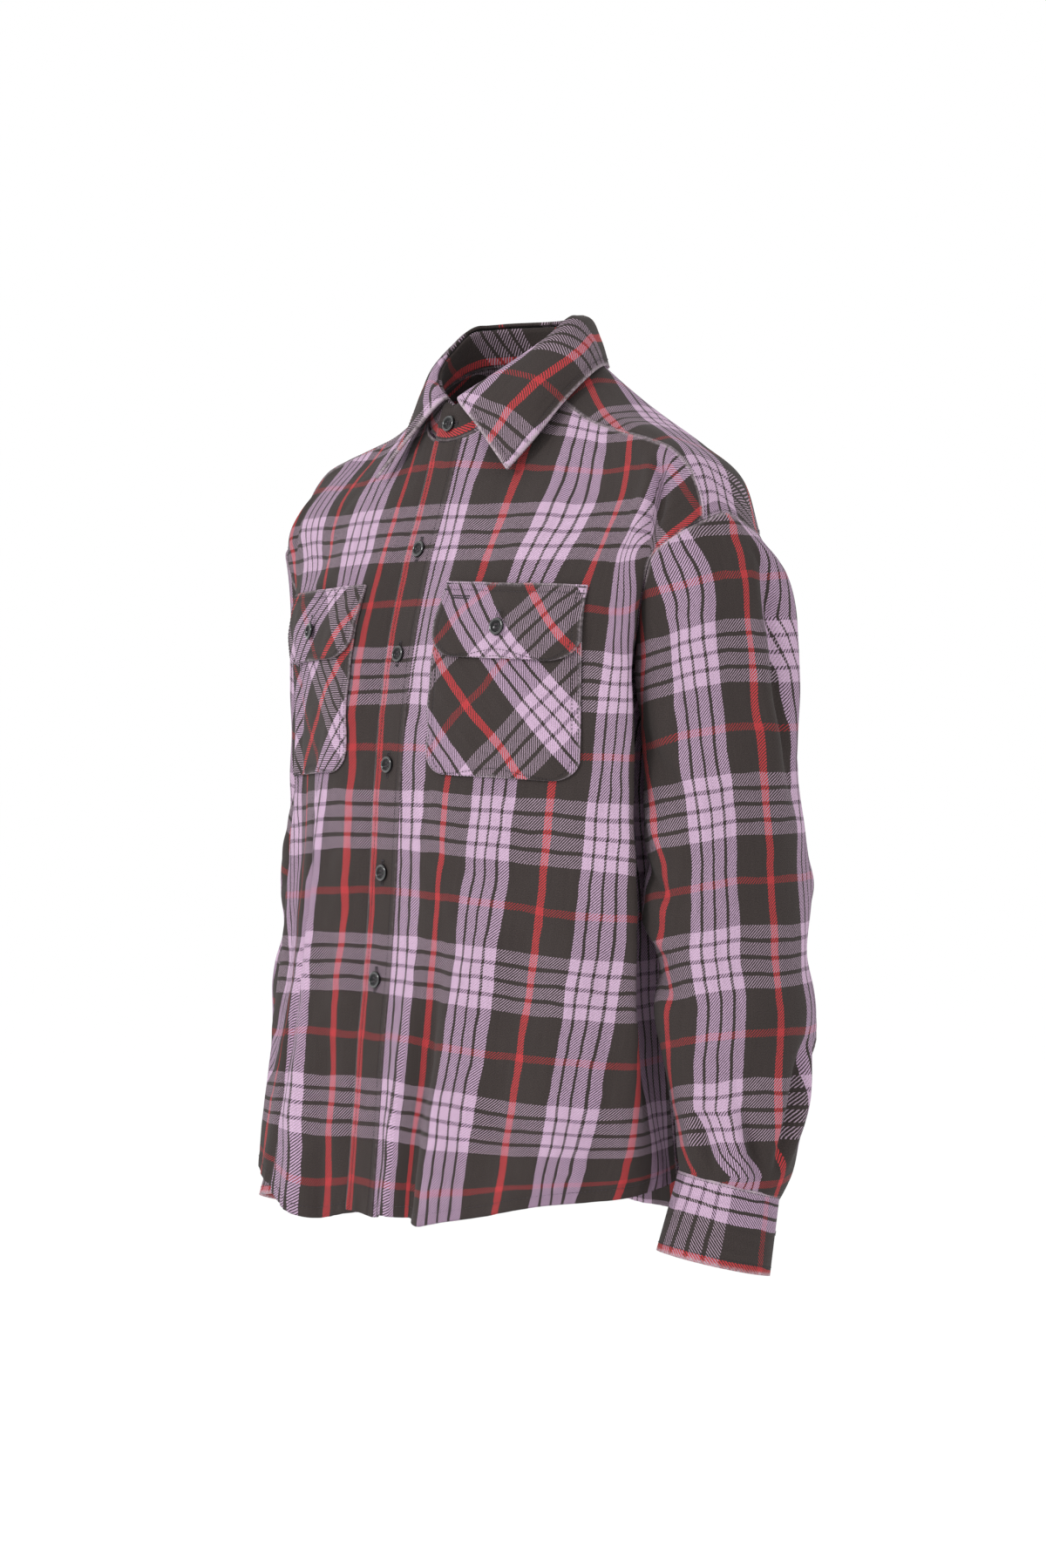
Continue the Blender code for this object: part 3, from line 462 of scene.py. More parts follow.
def flannel(name, rub=0.5, row=0.002):
    """Brushed plaid twill that follows a piece's own place in the cloth."""
    material, tree, shader = new_material(
        name, Roughness=0.95, Sheen_Weight=0.06, Sheen_Roughness=0.5, Specular_IOR_Level=0.1)
    place = put(tree, "UVMap", uv_map="cloth").outputs[0]
    seam = put(tree, "Attribute", attribute_name="seam").outputs["Fac"]
    plaid = put(tree, "Group", node_tree=PLAID, Cloth=place).outputs
    worn = put(tree, "Group", node_tree=WEAR, Color=plaid["Color"], Cloth=place, Seam=seam, Rub=rub,
               Row=row).outputs
    ribbed = put(tree, "Bump", Strength=0.5, Distance=0.0003, Height=plaid["Height"]).outputs[0]
    dipped = put(tree, "Bump", Strength=0.6, Distance=0.0008, Height=worn["Height"], Normal=ribbed).outputs[0]
    fill(tree, shader, Base_Color=worn["Color"], Normal=dipped)
    return material


THREAD, STITCH_PITCH, STITCH_SHARE = 0.00026, 0.0030, 0.82
EDGE_ROW, HEM_ROW = 0.002, 0.008  # how far the rows of stitches are from an edge and from a hem


def stitch_row(grid, edge, inset, share=(0.0, 1.0)):
    """A row of stitches on a grid at an inset from one of its edges: points and normals."""
    facing = grid_normals(grid)
    if edge in ("left", "right"):
        grid, facing = grid.transpose(1, 0, 2), facing.transpose(1, 0, 2)
    if edge in ("bottom", "right"):
        grid, facing = grid[::-1], facing[::-1]
    depth = run_length(grid)
    last = grid.shape[1] - 1
    columns = np.arange(round(share[0] * last), round(share[1] * last) + 1)
    rows = np.array([np.interp(inset, depth[:, column], np.arange(len(grid))) for column in columns])
    points, facing = facets(grid, facing, rows, columns)
    return points + facing * THREAD * 0.4, facing


def add_stitches(sheet, points, facing, pitch, long, thick, across=False):
    """Short stitches evenly along a line of points, or across it, as in a buttonhole."""
    length = run_length(points)
    at = (np.arange(int(length[-1] / pitch)) + 0.5) * pitch
    for middle, out, ahead in zip(*(
        np.stack([np.interp(at, length, values[:, axis]) for axis in range(3)], axis=1)
        for values in (points, facing, np.gradient(points, axis=0))
    )):
        ahead, out = unit(ahead), unit(out)
        aside = np.cross(out, ahead)
        way, side = (aside, ahead) if across else (ahead, aside)
        turn = Matrix(np.stack([way * long / 2, side * thick, out * thick], axis=1).tolist())
        place = Matrix.Translation(middle.tolist()) @ turn.to_4x4()
        bmesh.ops.create_icosphere(sheet, subdivisions=1, radius=1.0, matrix=place)


def thread_piece(name, sheet):
    """The stitches of one piece as one object."""
    obj = from_bmesh(name, sheet, COTTON)
    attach(obj, "root")


def sewn_rows(name, rows):
    """Lockstitch rows along a piece's seams and hems."""
    sheet = bmesh.new()
    for points, facing in rows:
        add_stitches(sheet, points, facing, STITCH_PITCH, STITCH_PITCH * STITCH_SHARE, THREAD)
    thread_piece(name, sheet)


def cotton(name):
    """Dark polished sewing thread with its twist."""
    material, tree, shader = new_material(name, Roughness=0.6)
    twist = noise(tree, put(tree, "TexCoord").outputs["Object"], Scale=2400.0, Detail=2.0)
    ramp = put(tree, "ValToRGB", Fac=twist)
    ramp.color_ramp.elements[0].color = (0.012, 0.009, 0.011, 1)
    ramp.color_ramp.elements[1].color = (0.060, 0.046, 0.056, 1)
    fill(tree, shader, Base_Color=ramp.outputs[0])
    return material


COTTON = cotton("dark sewing thread")
FLANNEL = flannel("plaid flannel")
YOKE_LIFT = 0.0007  # the yoke's folded edge lies over the fronts and the back
YOKE_WEFT_RED = 0.215  # cloth between the middle of the back and a red weft stripe
YOKE_WARP_RED, YOKE_GRAIN_TURN = 0.155, 0.38  # a red warp stripe leaves the front seam there, at a slope
YOKE_WARP_FROM = NECK_SIDE + 0.011
YOKE_RIDGE, YOKE_MEETING = 0.028, 0.045  # the plans of front and back meet from here backwards

yoke_left = yoke_half()
yoke = np.concatenate([yoke_left, mirrored(yoke_left)[:, 1:]], axis=1)


def yoke_weave(half):
    """Cross grain on one half: the warp runs from arm to arm. The rows of the grid are unrolled
    from the front seam back and from the middle of the back forwards, and meet at the shoulder."""
    facing = grid_normals(half)
    out = unit(np.array([1.0, 0, 0]) - facing * facing[..., :1])
    ways = np.stack([np.cross(facing, out), out], axis=-1)
    steps = np.einsum("ijk,ijkl->ijl", np.diff(half, axis=1), (ways[:, 1:] + ways[:, :-1]) / 2)
    travel = np.concatenate([np.zeros((len(half), 1, 2)), np.cumsum(steps, axis=1)], axis=1)
    down = run_length(half)
    seam_x = half[:, :1, 0]
    start = [YOKE_GRAIN_TURN * (seam_x - YOKE_WARP_RED), YOKE_WARP_FROM + down[:, :1]]
    from_front = travel + np.stack(start, axis=-1)
    from_back = travel - travel[:, -1:]
    from_back[..., 0] += down[:, -1:]
    share = np.clip((half[..., 1] - YOKE_RIDGE) / YOKE_MEETING, 0, 1)
    share = share * share * (3 - 2 * share)
    # The back's plan is stretched and bowed a little, to fit the front's where they meet.
    meeting = (share > 0.1) & (share < 0.9)
    front, reach = from_front[meeting], from_back[meeting][:, 1]
    bow, shift = np.polyfit(reach**2, front[:, 0] - from_back[meeting][:, 0], 1)
    from_back[..., 0] += shift + bow * from_back[..., 1] ** 2
    from_back[..., 1] *= (front[:, 1] * reach).sum() / (reach**2).sum()
    return from_front * (1 - share[..., None]) + from_back * share[..., None]


half_place = yoke_weave(yoke_left)
yoke_place = np.concatenate([half_place, half_place[:, -2::-1] * [1, -1]], axis=1) - [0, YOKE_WEFT_RED]
yoke_seam = from_edges(yoke, "top", "bottom", "left", "right")
yoke_shape = lifted(yoke, YOKE_LIFT * np.ones(yoke.shape[:2]))
dress(cloth_piece("yoke_cloth", yoke_shape, yoke_place, yoke_seam, FLANNEL), "yoke",
      flat=(0.50, 0.20), held="draped", rests_on=["back"], area=0.075)
sewn_rows("yoke_stitches", [
    stitch_row(yoke_shape, edge, EDGE_ROW) for edge in ("left", "right", "bottom", "top")
])

# ---------------------------------------------------------------- fronts and placket
# Two fronts of the same flannel, cut on the straight grain. The left one ends in a separate
# stitched band, the placket, and laps over the right one, whose edge is turned under.

PLACKET_HALF, UNDERLAP = 0.0165, 0.0031
PLACKET_PROUD, PLACKET_THICK, PLACKET_ROW, PLACKET_RUB = 0.0009, 0.0028, 0.005, 0.1
FRONT_X = 0.050, 0.115, 0.180  # places of a section's inner, centre and outer columns
# Sections in millimetres: z, droop, the depths at the opening and at the three columns, x and y of the
# fold and of the tuck before the side seam, and the right front's slack.
FRONT = (
    (-100, 4, -83.5, -84.5, -76, -61, 213, -53, 230, -47, 0),
    (-128, 4, -93, -95.5, -89, -69, 202, -60, 214, -55.5, 1),
    (-152, 7, -99.5, -104.5, -97, -77.5, 206, -61.5, 211, -53, 2),
    (-178, 7, -106, -113, -104, -81, 208, -61.5, 204, -52, 3),
    (-203, 7, -111, -118, -107, -82, 208.5, -60.5, 193.5, -51.2, 5),
    (-232, 7, -115.5, -121, -109, -81.5, 208.5, -59, 181.5, -50, 7),
    (-262, 7, -119, -122.5, -110.5, -81, 208, -58, 181, -48, 9),
    (-290, 7, -121.5, -124, -112, -81, 207.5, -57.5, 180, -48, 10),
    (-335, 14, -124.5, -126, -114, -83, 208.5, -57, 181.5, -47.5, 10),
    (-378.5, 16, -126.8, -128.5, -117, -86, 210, -57, 184, -47, 10),
    (-432, 15, -131, -134, -124, -92, 213, -57.5, 188, -45, 10),
    (-486, 13, -137, -141.5, -133, -100, 215, -58, 195, -42, 9),
    (-545, 8, -142, -150.5, -143.5, -109, 216.5, -61, 204, -37, 9),
)
# The hem in the same order, from its depth at the opening on, and its heights.
FRONT_HEM = (-148.7, -159, -153, -118, 216.5, -66, 210, -34, 9)
FRONT_HEM_Z = (-617, -618, -620, -626, -613, -599, -593, -589)
# How far each point gives way to the slack, in x and y, and how much of the droop it takes.
SLACK_WAYS = np.array([(0, 0)] * 4 + [(-0.2, 0.4), (-0.6, 0.8), (-0.7, 0.7), (-0.2, 0.2)])
DROOP_SHARES = np.array([0, 0, 0, 0.06, 0.35, 0.8, 1])
FRONT_CELLS_DOWN = tuple(cells * FINE for cells in (4, 2, 2, 1, 1, 1, 1, 1, 2, 2, 2, 2, 2, 3))
FRONT_CELLS_ACROSS = tuple(cells * FINE for cells in (1, 1, 2, 2, 2, 2, 2, 2))
ARMHOLE_FRONT = np.array((
    (245, -24, -106), (241, -40, -114), (222, -52, -131), (210.5, -50, -150), (195, -42, -174),
    (175, -26, -207), (158, 4, -235),
)) / 1000
SIDE_SEAM = np.array((
    (158, 4, -235), (155, 6, -268), (154, 7, -298), (156, 7, -349), (159, 8, -394), (165, 8, -448),
    (172, 6, -500), (180, 4, -552), (187, 2, -588),
)) / 1000


def front_section(row, heights, side, right):
    """The points of one section, from the opening's edge to the side."""
    middle, *depths, fold_x, fold_y, tuck_x, tuck_y, slack = row
    x = [-PLACKET_HALF, 0.0, PLACKET_HALF, *FRONT_X, fold_x, tuck_x]
    y = [middle + UNDERLAP * right] * 3 + [*depths, fold_y, tuck_y]
    points = np.stack([x, y, heights], axis=1)
    points[:, :2] += SLACK_WAYS * slack * right
    return [*points, side]


def front_grid(right=False):
    """A front, on the wearer's left: rows from the neck and yoke seam to the hem."""
    sections = []
    for (z, droop, *row), side in zip(np.array(FRONT) / 1000, [*ARMHOLE_FRONT[1:], *SIDE_SEAM[1:]]):
        heights = [*(z - droop * DROOP_SHARES), (z - droop + side[2]) / 2]
        sections.append(front_section(row, heights, side, right))
    hem, heights = np.array(FRONT_HEM) / 1000, np.array(FRONT_HEM_Z) / 1000
    sections.append(front_section(hem, heights, SIDE_SEAM[-1], right))
    rows = [in_spans(section, FRONT_CELLS_ACROSS) for section in sections]
    edge = math.degrees(math.asin(PLACKET_HALF / NECK_SIDE))
    rest = len(rows[0]) - 1 - 2 * FINE - YOKE_CELLS_OUT
    angles = [*np.linspace(-edge, edge, 2 * FINE + 1), *np.linspace(edge, SHOULDER_SEAM_ANGLE, rest + 1)[1:]]
    top = np.array([neck_point(angle) for angle in angles])
    if right:
        top[:, 1] += UNDERLAP * np.maximum(0, 1 - np.maximum(0, np.array(angles) - edge) / edge)
    rows = np.array([[*top, *yoke_left[1:, 0]], *rows])
    grid = in_spans(rows, FRONT_CELLS_DOWN, run_length(rows[:, 3 * FINE]))
    return sided(grid, ARMHOLE_FRONT, FRONT_CELLS_DOWN)


def sided(grid, armhole, cells):
    """The grid with its side edge on the armhole and the side seam, and the armhole's count of rows."""
    under = len(armhole) - 1
    grid[:, -1] = [*in_spans(armhole, cells[:under]), *in_spans(SIDE_SEAM, cells[under:])[1:]]
    return grid, sum(cells[:under])


# How the cloth's width lies over the form: millimetres of cloth from the middle of the front at
# each of the section's points, at some drops of the middle. Folds take up the rest.
GRAIN_DROPS = np.array([0.040, 0.152, 0.262, 0.3785, 0.486, 0.618])
GRAIN_LEFT = (
    (-16, 0, 17, 52, 84, 133, 184, 228, 265),
    (-16, 0, 15, 41, 105, 174, 223, 243, 262),
    (-16, 0, 17, 43, 115, 190, 230, 257, 319),
    (-16, 0, 18, 45, 126, 200, 243, 262, 324),
    (-16, 0, 16, 38, 127, 204, 253, 273, 328),
    (-16, 0, 18, 36, 130, 209, 275, 307, 353),
)
GRAIN_RIGHT = (
    (-16, 0, 17, 52, 84, 133, 184, 228, 265),
    (-16, 0, 17, 55, 134, 197, 212, 225, 240),
    (-16, 0, 17, 47, 118, 187, 223, 245, 304),
    (-16, 0, 17, 47, 116, 187, 229, 250, 309),
    (-16, 0, 17, 50, 116, 188, 244, 263, 315),
    (-16, 0, 17, 50, 118, 191, 254, 280, 322),
)
# What the folds take up and give out: at some drops, the plain lie of a thread across and its true place
# in the cloth, in millimetres.
LEFT_LIE = (
    (99, ((-30, -30), (2.4, 0), (28.7, 29.7), (72.9, 68.3), (99.5, 98), (132.7, 127.7), (163.9, 166.3))),
    (218, ((-56, -50), (-27.2, -29.5), (0, 0), (127.5, 127.7), (154.4, 166.3))),
    (330, ((-28, -29.5), (-8, -4.5), (0.5, 4.5), (23, 29.7), (67.9, 68.3), (98.6, 98), (129.2, 127.7),
           (161.6, 166.3))),
    (440, ((-28.2, -29.5), (-18.6, -4.5), (-10.6, 4.5), (24.2, 29.7), (66.9, 68.3), (98.2, 98),
           (129.1, 127.7), (157.5, 166.3), (183.1, 196))),
    (550, ((-27.9, -29.5), (-21.2, -4.5), (-17.6, 4.5), (22, 29.7), (66.7, 68.3), (98.8, 98),
           (127.7, 127.7), (150, 155))),
)
RIGHT_LIE = (
    (99, ((-109.6, -128), (-94.5, -98), (-69, -68), (-21.1, -30), (-4.3, 0))),
    (218, ((-115.2, -128), (-92, -98), (-68, -68), (-28.9, -30), (0.6, 0))),
    (330, ((-131.8, -166), (-109.9, -128), (-93.8, -68), (-37.1, -30), (0.9, 0))),
    (383, ((-118.7, -166), (-108.6, -128), (-103.9, -68), (-34.5, -30), (-1.6, 0))),
    (440, ((-122, -160), (-104, -122), (-99.8, -68), (-31.3, -30), (-3.3, 0))),
    (495, ((-119.5, -98), (-95.2, -68), (-25.6, -30), (1.9, 0))),
    (550, ((-110, -88), (-85, -68), (-19.6, -30), (3.9, 0))),
)
LEFT_RED, RIGHT_RED = 0.0695, 0.043  # cloth between the middle of the front and a red stripe
FIRST_WEFT_RED, WEFT_STRETCH = 0.055, 1.0204
LIE_SPARE = 400


def relaid(across, along, table):
    """The cloth across, where folds take up or give out some of it."""
    laid = []
    for _, pairs in table:
        plain, true = zip(*pairs)
        plain = (plain[0] - LIE_SPARE, *plain, plain[-1] + LIE_SPARE)
        true = (true[0] - LIE_SPARE, *true, true[-1] + LIE_SPARE)
        laid.append(np.interp(across * 1000, plain, true) / 1000)
    at = np.interp(along * 1000, [drop for drop, _ in table], np.arange(len(table)))
    first = np.minimum(at.astype(int), len(table) - 2)
    share = at - first
    laid = np.array(laid)
    row, column = np.indices(across.shape)
    return laid[first, row, column] * (1 - share) + laid[first + 1, row, column] * share


def front_weave(grid, grain, red, sign, lie):
    """Straight grain. Below the yoke seam's reach each row of the grid is one weft thread."""
    drops = -grid[:, FINE, 2]
    width = np.array([in_spans(np.array(row)[:, None] / 1000, FRONT_CELLS_ACROSS)[:, 0] for row in grain])
    across = through(width, np.clip(drops, GRAIN_DROPS[0], GRAIN_DROPS[-1]), GRAIN_DROPS)
    down = np.repeat((drops - FIRST_WEFT_RED)[:, None] * WEFT_STRETCH, grid.shape[1], axis=1)
    free = FRONT_CELLS_DOWN[0]
    length = run_length(grid)
    down[:free] = down[free] - (length[free] - length[:free]) * WEFT_STRETCH
    return np.stack([relaid(sign * (across - red), down, lie), down], axis=-1)


left, arm_rows = front_grid()
right, _ = front_grid(right=True)
placket_end = 2 * FINE

# Creases by the way across from the middle of the front, and z.
LEFT_CREASES = (
    (223, -58, 225.5, -122, 243, -196, 5.5, -8.5, 0),
    (211, -60, 213.5, -122, 230, -200, 7.5, 5.5, 0),
    (236, -75, 240, -122, 252, -180, 6, 3, 0),
    (205, -175, 190, -200, 172, -260, 10, -2.5, 0.2),
    (72, -420, 64, -540, 69, -780, 11, -11, 0),
    (46, -440, 43, -560, 48, -780, 11, 4, 0),
    (96, -430, 92, -550, 98, -760, 15, 5, 0),
    (152, -330, 134, -500, 150, -740, 18, -6, -0.2),
    (187, -350, 178, -500, 190, -740, 16, 4.5, 0),
    (215, -390, 224, -500, 235, -720, 13, -5, 0.2),
    (60, -345, 98, -372, 150, -366, 9, -1.8, 0),
    (20, -238, 38, -250, 60, -262, 7, -1.4, 0),
    (60, -85, 84, -130, 108, -172, 14, -2.2, 0),
    (140, -75, 156, -120, 176, -160, 12, -2, 0),
    (255, -250, 262, -380, 276, -560, 12, -4, 0),
)
RIGHT_CREASES = (
    (90, -290, 85, -420, 80, -640, 14, 6.5, 0),
    (114, -320, 124, -420, 138, -640, 11, -12.5, 0),
    (168, -250, 184, -380, 190, -620, 20, 10, 0.1),
    (166, -175, 160, -240, 150, -310, 8, -3, 0),
    (52, -470, 48, -560, 44, -760, 12, -5.5, 0),
    (221, -70, 230, -120, 212, -200, 8, -4.5, 0),
    (98, -100, 140, -132, 180, -150, 12, -1.6, 0),
    (226, -290, 236, -420, 240, -640, 13, -4.5, 0),
    (40, -210, 60, -222, 85, -215, 8, -1.4, 0),
)
# How much the hem is drawn up beside the placket, by the way across from the middle of the front.
HEM_DRAWN = ((0.0165, 0.0025), (0.030, 0.0060), (0.045, 0.0105), (0.066, 0.0115), (0.092, 0.0))
DRAWN_FROM_Z, DRAWN_OVER, DRAWN_BESIDE = -0.50, 0.13, 0.010
PUCKER_WAVE, PUCKER_BEAT, PUCKER_ROW, PUCKER = 0.0019, 4.3, 0.0045, 0.0006
FRONT_CALM, BAND_CALM, CALM_POWER = 0.025, 0.022, 1.5  # how far from a seam the cloth lies calm
FRONT_SWELL, FINE_SWELL = (0.0008, 0.11), (0.0003, 0.034)  # height and size


def puckered(grid):
    """The grid with the small waves that the hem's stitches draw along it."""
    depth, along = edge_ways(grid)["bottom"]
    wave = np.sin(along / PUCKER_WAVE + 2.0 * np.sin(along / (PUCKER_BEAT * PUCKER_WAVE)))
    return lifted(grid, PUCKER * wave * np.exp(-(((depth - PUCKER_ROW) / (1.6 * PUCKER_ROW)) ** 2)))


def calm_by(distance, reach):
    """A share that grows from nothing at a seam to one at its reach."""
    return np.clip(distance / reach, 0, 1) ** CALM_POWER


def swell(places, height, size, seed):
    """A low swell with a finer one on it."""
    return uneven(places, height, size, seed) + uneven(places, *FINE_SWELL, seed + 4)


def front_shape(grid, creases, seed, drawn=((0, 0), (1, 0))):
    """A front with its creases, calm at the yoke, the side seam and the placket."""
    across = run_across(grid)
    from_band = across - across[:, placket_end, None]
    places = np.stack([from_band + PLACKET_HALF, grid[..., 2]], axis=-1)
    calm = calm_by(from_edges(grid, "top", "right"), FRONT_CALM) * calm_by(from_band, BAND_CALM)
    folded = lifted(creased(grid, places, creases, calm), swell(places, *FRONT_SWELL, seed) * calm)
    low = np.clip((DRAWN_FROM_Z - folded[..., 2]) / DRAWN_OVER, 0, 1) ** 2
    folded[..., 2] += np.interp(places[..., 0], *zip(*drawn)) * low * np.clip(from_band / DRAWN_BESIDE, 0, 1)
    return puckered(folded)


left_weave = front_weave(left, GRAIN_LEFT, LEFT_RED, 1, LEFT_LIE)
right_weave = front_weave(right, GRAIN_RIGHT, RIGHT_RED, -1, RIGHT_LIE)[:, ::-1]
left_shape = front_shape(left, LEFT_CREASES, 1.0, HEM_DRAWN)
right_shape = mirrored(front_shape(right, RIGHT_CREASES, 2.0))
left_normals, right_normals = grid_normals(left_shape), grid_normals(right_shape)

# Beyond the crease at the armhole the arm pulls the left front's cloth round by half a right angle.
SLANT = (0.6293, 0.7771)  # the way out along the crease's cloth, in x and y
CORNER_CREASE = ((-0.197, 0.0855), (-0.182, 0.0873), (-0.164, 0.0905), (-0.135, 0.0974), (-0.104, 0.0999),
                 (-0.080, 0.1043), (-0.055, 0.1143))  # z, and how far out the crease lies there
CORNER_OUT, CORNER_Z, CORNER_CLOTH = 0.1342, -0.0989, 0.196
CORNER_GRAIN = ((0.775, 0.941), (-0.891, 0.613))
CORNER_BLEND, CORNER_LOW, CORNER_LOW_BLEND = 0.0035, -0.200, 0.008
out_there = left_shape[..., 0] * SLANT[0] + left_shape[..., 1] * SLANT[1]
beyond = out_there - np.interp(left_shape[..., 2], *zip(*CORNER_CREASE))
aside, lower = out_there - CORNER_OUT, CORNER_Z - left_shape[..., 2]
turned = [CORNER_CLOTH, 0.0] + np.stack([aside * row[0] + lower * row[1] for row in CORNER_GRAIN], axis=-1)
above = np.clip((left_shape[..., 2] - CORNER_LOW) / CORNER_LOW_BLEND, 0, 1)
share = np.clip(beyond / CORNER_BLEND, 0, 1) * above
left_weave = left_weave * (1 - share[..., None]) + turned * share[..., None]

UNDER_BAND = 3  # columns of the left front that reach under its band
left_body, body_weave = (values[:, placket_end - UNDER_BAND:] for values in (left_shape, left_weave))
left_seam, right_seam = from_edges(left_body, "top", "right"), from_edges(right_shape, "top", "left")
front_left = cloth_piece("front_left_cloth", left_body, body_weave, left_seam, FLANNEL)
front_right = cloth_piece("front_right_cloth", right_shape, right_weave, right_seam, FLANNEL)

# The placket's own stripes: red near its free edge, lilac along its seam.
PLACKET_RED = -0.012
band = (left_shape + left_normals * PLACKET_PROUD)[:, : placket_end + 1]
band_weave = np.stack([left[..., 0] - PLACKET_RED, left_weave[..., 1]], axis=-1)[:, : placket_end + 1]
band_flannel = flannel("plaid flannel, placket", PLACKET_RUB, PLACKET_ROW)
placket = cloth_piece("front_placket_band", band, band_weave, from_edges(band, "left", "right"),
                      band_flannel, PLACKET_THICK)

dress(front_left, "front_left", flat=(0.34, 0.62), held="draped", area=0.165)
dress(front_right, "front_right", flat=(0.36, 0.62), held="draped", area=0.175)
dress(placket, "front_placket", flat=(0.034, 0.585), held="draped", area=0.0195)
for side, shape, seam in (("left", left_body, "right"), ("right", right_shape, "left")):
    sewn_rows(f"front_{side}_stitches", [
        stitch_row(shape, "bottom", HEM_ROW), stitch_row(shape, seam, EDGE_ROW),
    ])
sewn_rows("front_placket_stitches", [stitch_row(band, edge, PLACKET_ROW) for edge in ("left", "right")])

# ---------------------------------------------------------------- back
# The back is one piece on the straight grain, sewn under the yoke and, at the sides, to the fronts.

BACK_X = 0.055, 0.115  # places of a section's spine and blade columns
# Sections in millimetres: z, the depths in the middle, at the spine and at the blade, and x and y of the
# fold and of the tuck before the side seam.
BACK = (
    (-132, 119, 120, 116, 174, 97, 206, 80),
    (-165, 122, 124, 121, 177, 103, 198, 89),
    (-203, 124, 126, 123, 178, 105, 188, 87),
    (-232, 125, 127, 123, 179, 104, 172, 74),
    (-262, 124.5, 126.5, 122, 180, 101, 165, 67),
    (-290, 123.5, 125.5, 121, 180, 99, 166, 62),
    (-335, 122, 124, 119.5, 181, 97, 166, 61),
    (-378.5, 121, 123, 118.5, 183, 96, 170, 61),
    (-432, 121.5, 123.5, 119, 186, 96, 177, 60),
    (-486, 123, 125, 120, 188, 94, 186, 56),
    (-545, 123.5, 125, 120, 189, 89, 193, 51),
    (-630, 124, 125, 119, 189, 83, 198, 44),
)
BACK_CELLS_DOWN = tuple(cells * FINE for cells in (2, 2, 2, 2, 1, 1, 2, 2, 2, 2, 2, 3))
BACK_CELLS_ACROSS = tuple(cells * FINE for cells in (2, 2, 2, 1, 2))
ARMHOLE_BACK = np.array((
    (232, 40, -114), (222, 62, -140), (205, 73, -172), (181, 55, -212), (158, 4, -235),
)) / 1000


def back_grid():
    """The wearer's left half of the back, from the middle to the side."""
    seam = yoke_left[-1, sum(YOKE_CELLS_ROUND[:2]):][::-1]
    sections = [
        [
            (0.0, middle, z),
            (BACK_X[0], spine, z),
            (BACK_X[1], blade, z * 0.99 + side[2] * 0.01),
            (fold_x, fold_y, z * 0.8 + side[2] * 0.2),
            (tuck_x, tuck_y, z * 0.35 + side[2] * 0.65),
            side,
        ]
        for (z, middle, spine, blade, fold_x, fold_y, tuck_x, tuck_y), side in zip(
            np.array(BACK) / 1000, [*ARMHOLE_BACK[1:], *SIDE_SEAM[1:]])
    ]
    rows = np.array([seam, *[in_spans(section, BACK_CELLS_ACROSS) for section in sections]])
    return sided(in_spans(rows, BACK_CELLS_DOWN, run_length(rows[:, 0])), ARMHOLE_BACK, BACK_CELLS_DOWN)


# Creases by the way across from the middle of the back, and z.
BACK_CREASES = (
    (-58, -100, -76, -240, -70, -420, 18, -5, 0.2),
    (56, -95, 70, -220, 92, -370, 17, -4.5, -0.2),
    (12, -110, 4, -230, 18, -330, 20, 3, 0),
    (200, -160, 135, -210, 80, -300, 13, 5, 0),
    (196, -186, 130, -240, 84, -345, 11, -5.5, 0.2),
    (-200, -172, -145, -230, -100, -345, 14, 5, 0),
    (-196, -200, -135, -262, -106, -385, 11, -5, 0.2),
    (-122, -350, -132, -500, -124, -780, 20, -8, 0),
    (30, -370, 18, -500, 26, -780, 22, 7, 0),
    (124, -360, 142, -500, 134, -780, 19, -8, 0),
    (-50, -420, -44, -550, -52, -780, 17, -6, 0),
    (76, -440, 82, -560, 74, -780, 16, 4, 0),
    (-190, -330, -196, -480, -200, -760, 16, 5, 0),
    (190, -300, 202, -450, 206, -740, 16, 5, 0),
)
BACK_RED = 0.049  # cloth between the middle of the back and a red stripe
BACK_CALM, BACK_SWELL = 0.03, (0.0012, 0.10)

back_half, back_arm_rows = back_grid()
back = np.concatenate([back_half[:, ::-1], (back_half * [-1, 1, 1])[:, 1:]], axis=1)
across_back = run_across(back)
across_back = across_back - across_back[:, across_back.shape[1] // 2, None]
back_places = np.stack([across_back, back[..., 2]], axis=-1)
back_seam = from_edges(back, "top", "left", "right")
back_calm = calm_by(back_seam, BACK_CALM)
back_folded = creased(back, back_places, BACK_CREASES, back_calm)
back_shape = puckered(lifted(back_folded, swell(back_places, *BACK_SWELL, 3.0) * back_calm))
back_down = (-back_half[:, 0, 2, None] - FIRST_WEFT_RED) * WEFT_STRETCH + 0 * across_back
back_weave = np.stack([across_back - BACK_RED, back_down], axis=-1)
dress(cloth_piece("back_cloth", back_shape, back_weave, back_seam, FLANNEL), "back",
      flat=(0.62, 0.56), held="draped", area=0.30)
sewn_rows("back_stitches", [
    stitch_row(back_shape, "bottom", HEM_ROW),
    stitch_row(back_shape, "left", EDGE_ROW),
    stitch_row(back_shape, "right", EDGE_ROW),
])

# ---------------------------------------------------------------- sleeves
# Each sleeve is one piece on the straight grain, set into the dropped armhole and pleated into
# its cuff. Its folds gather inside the elbow and stack above the cuff.

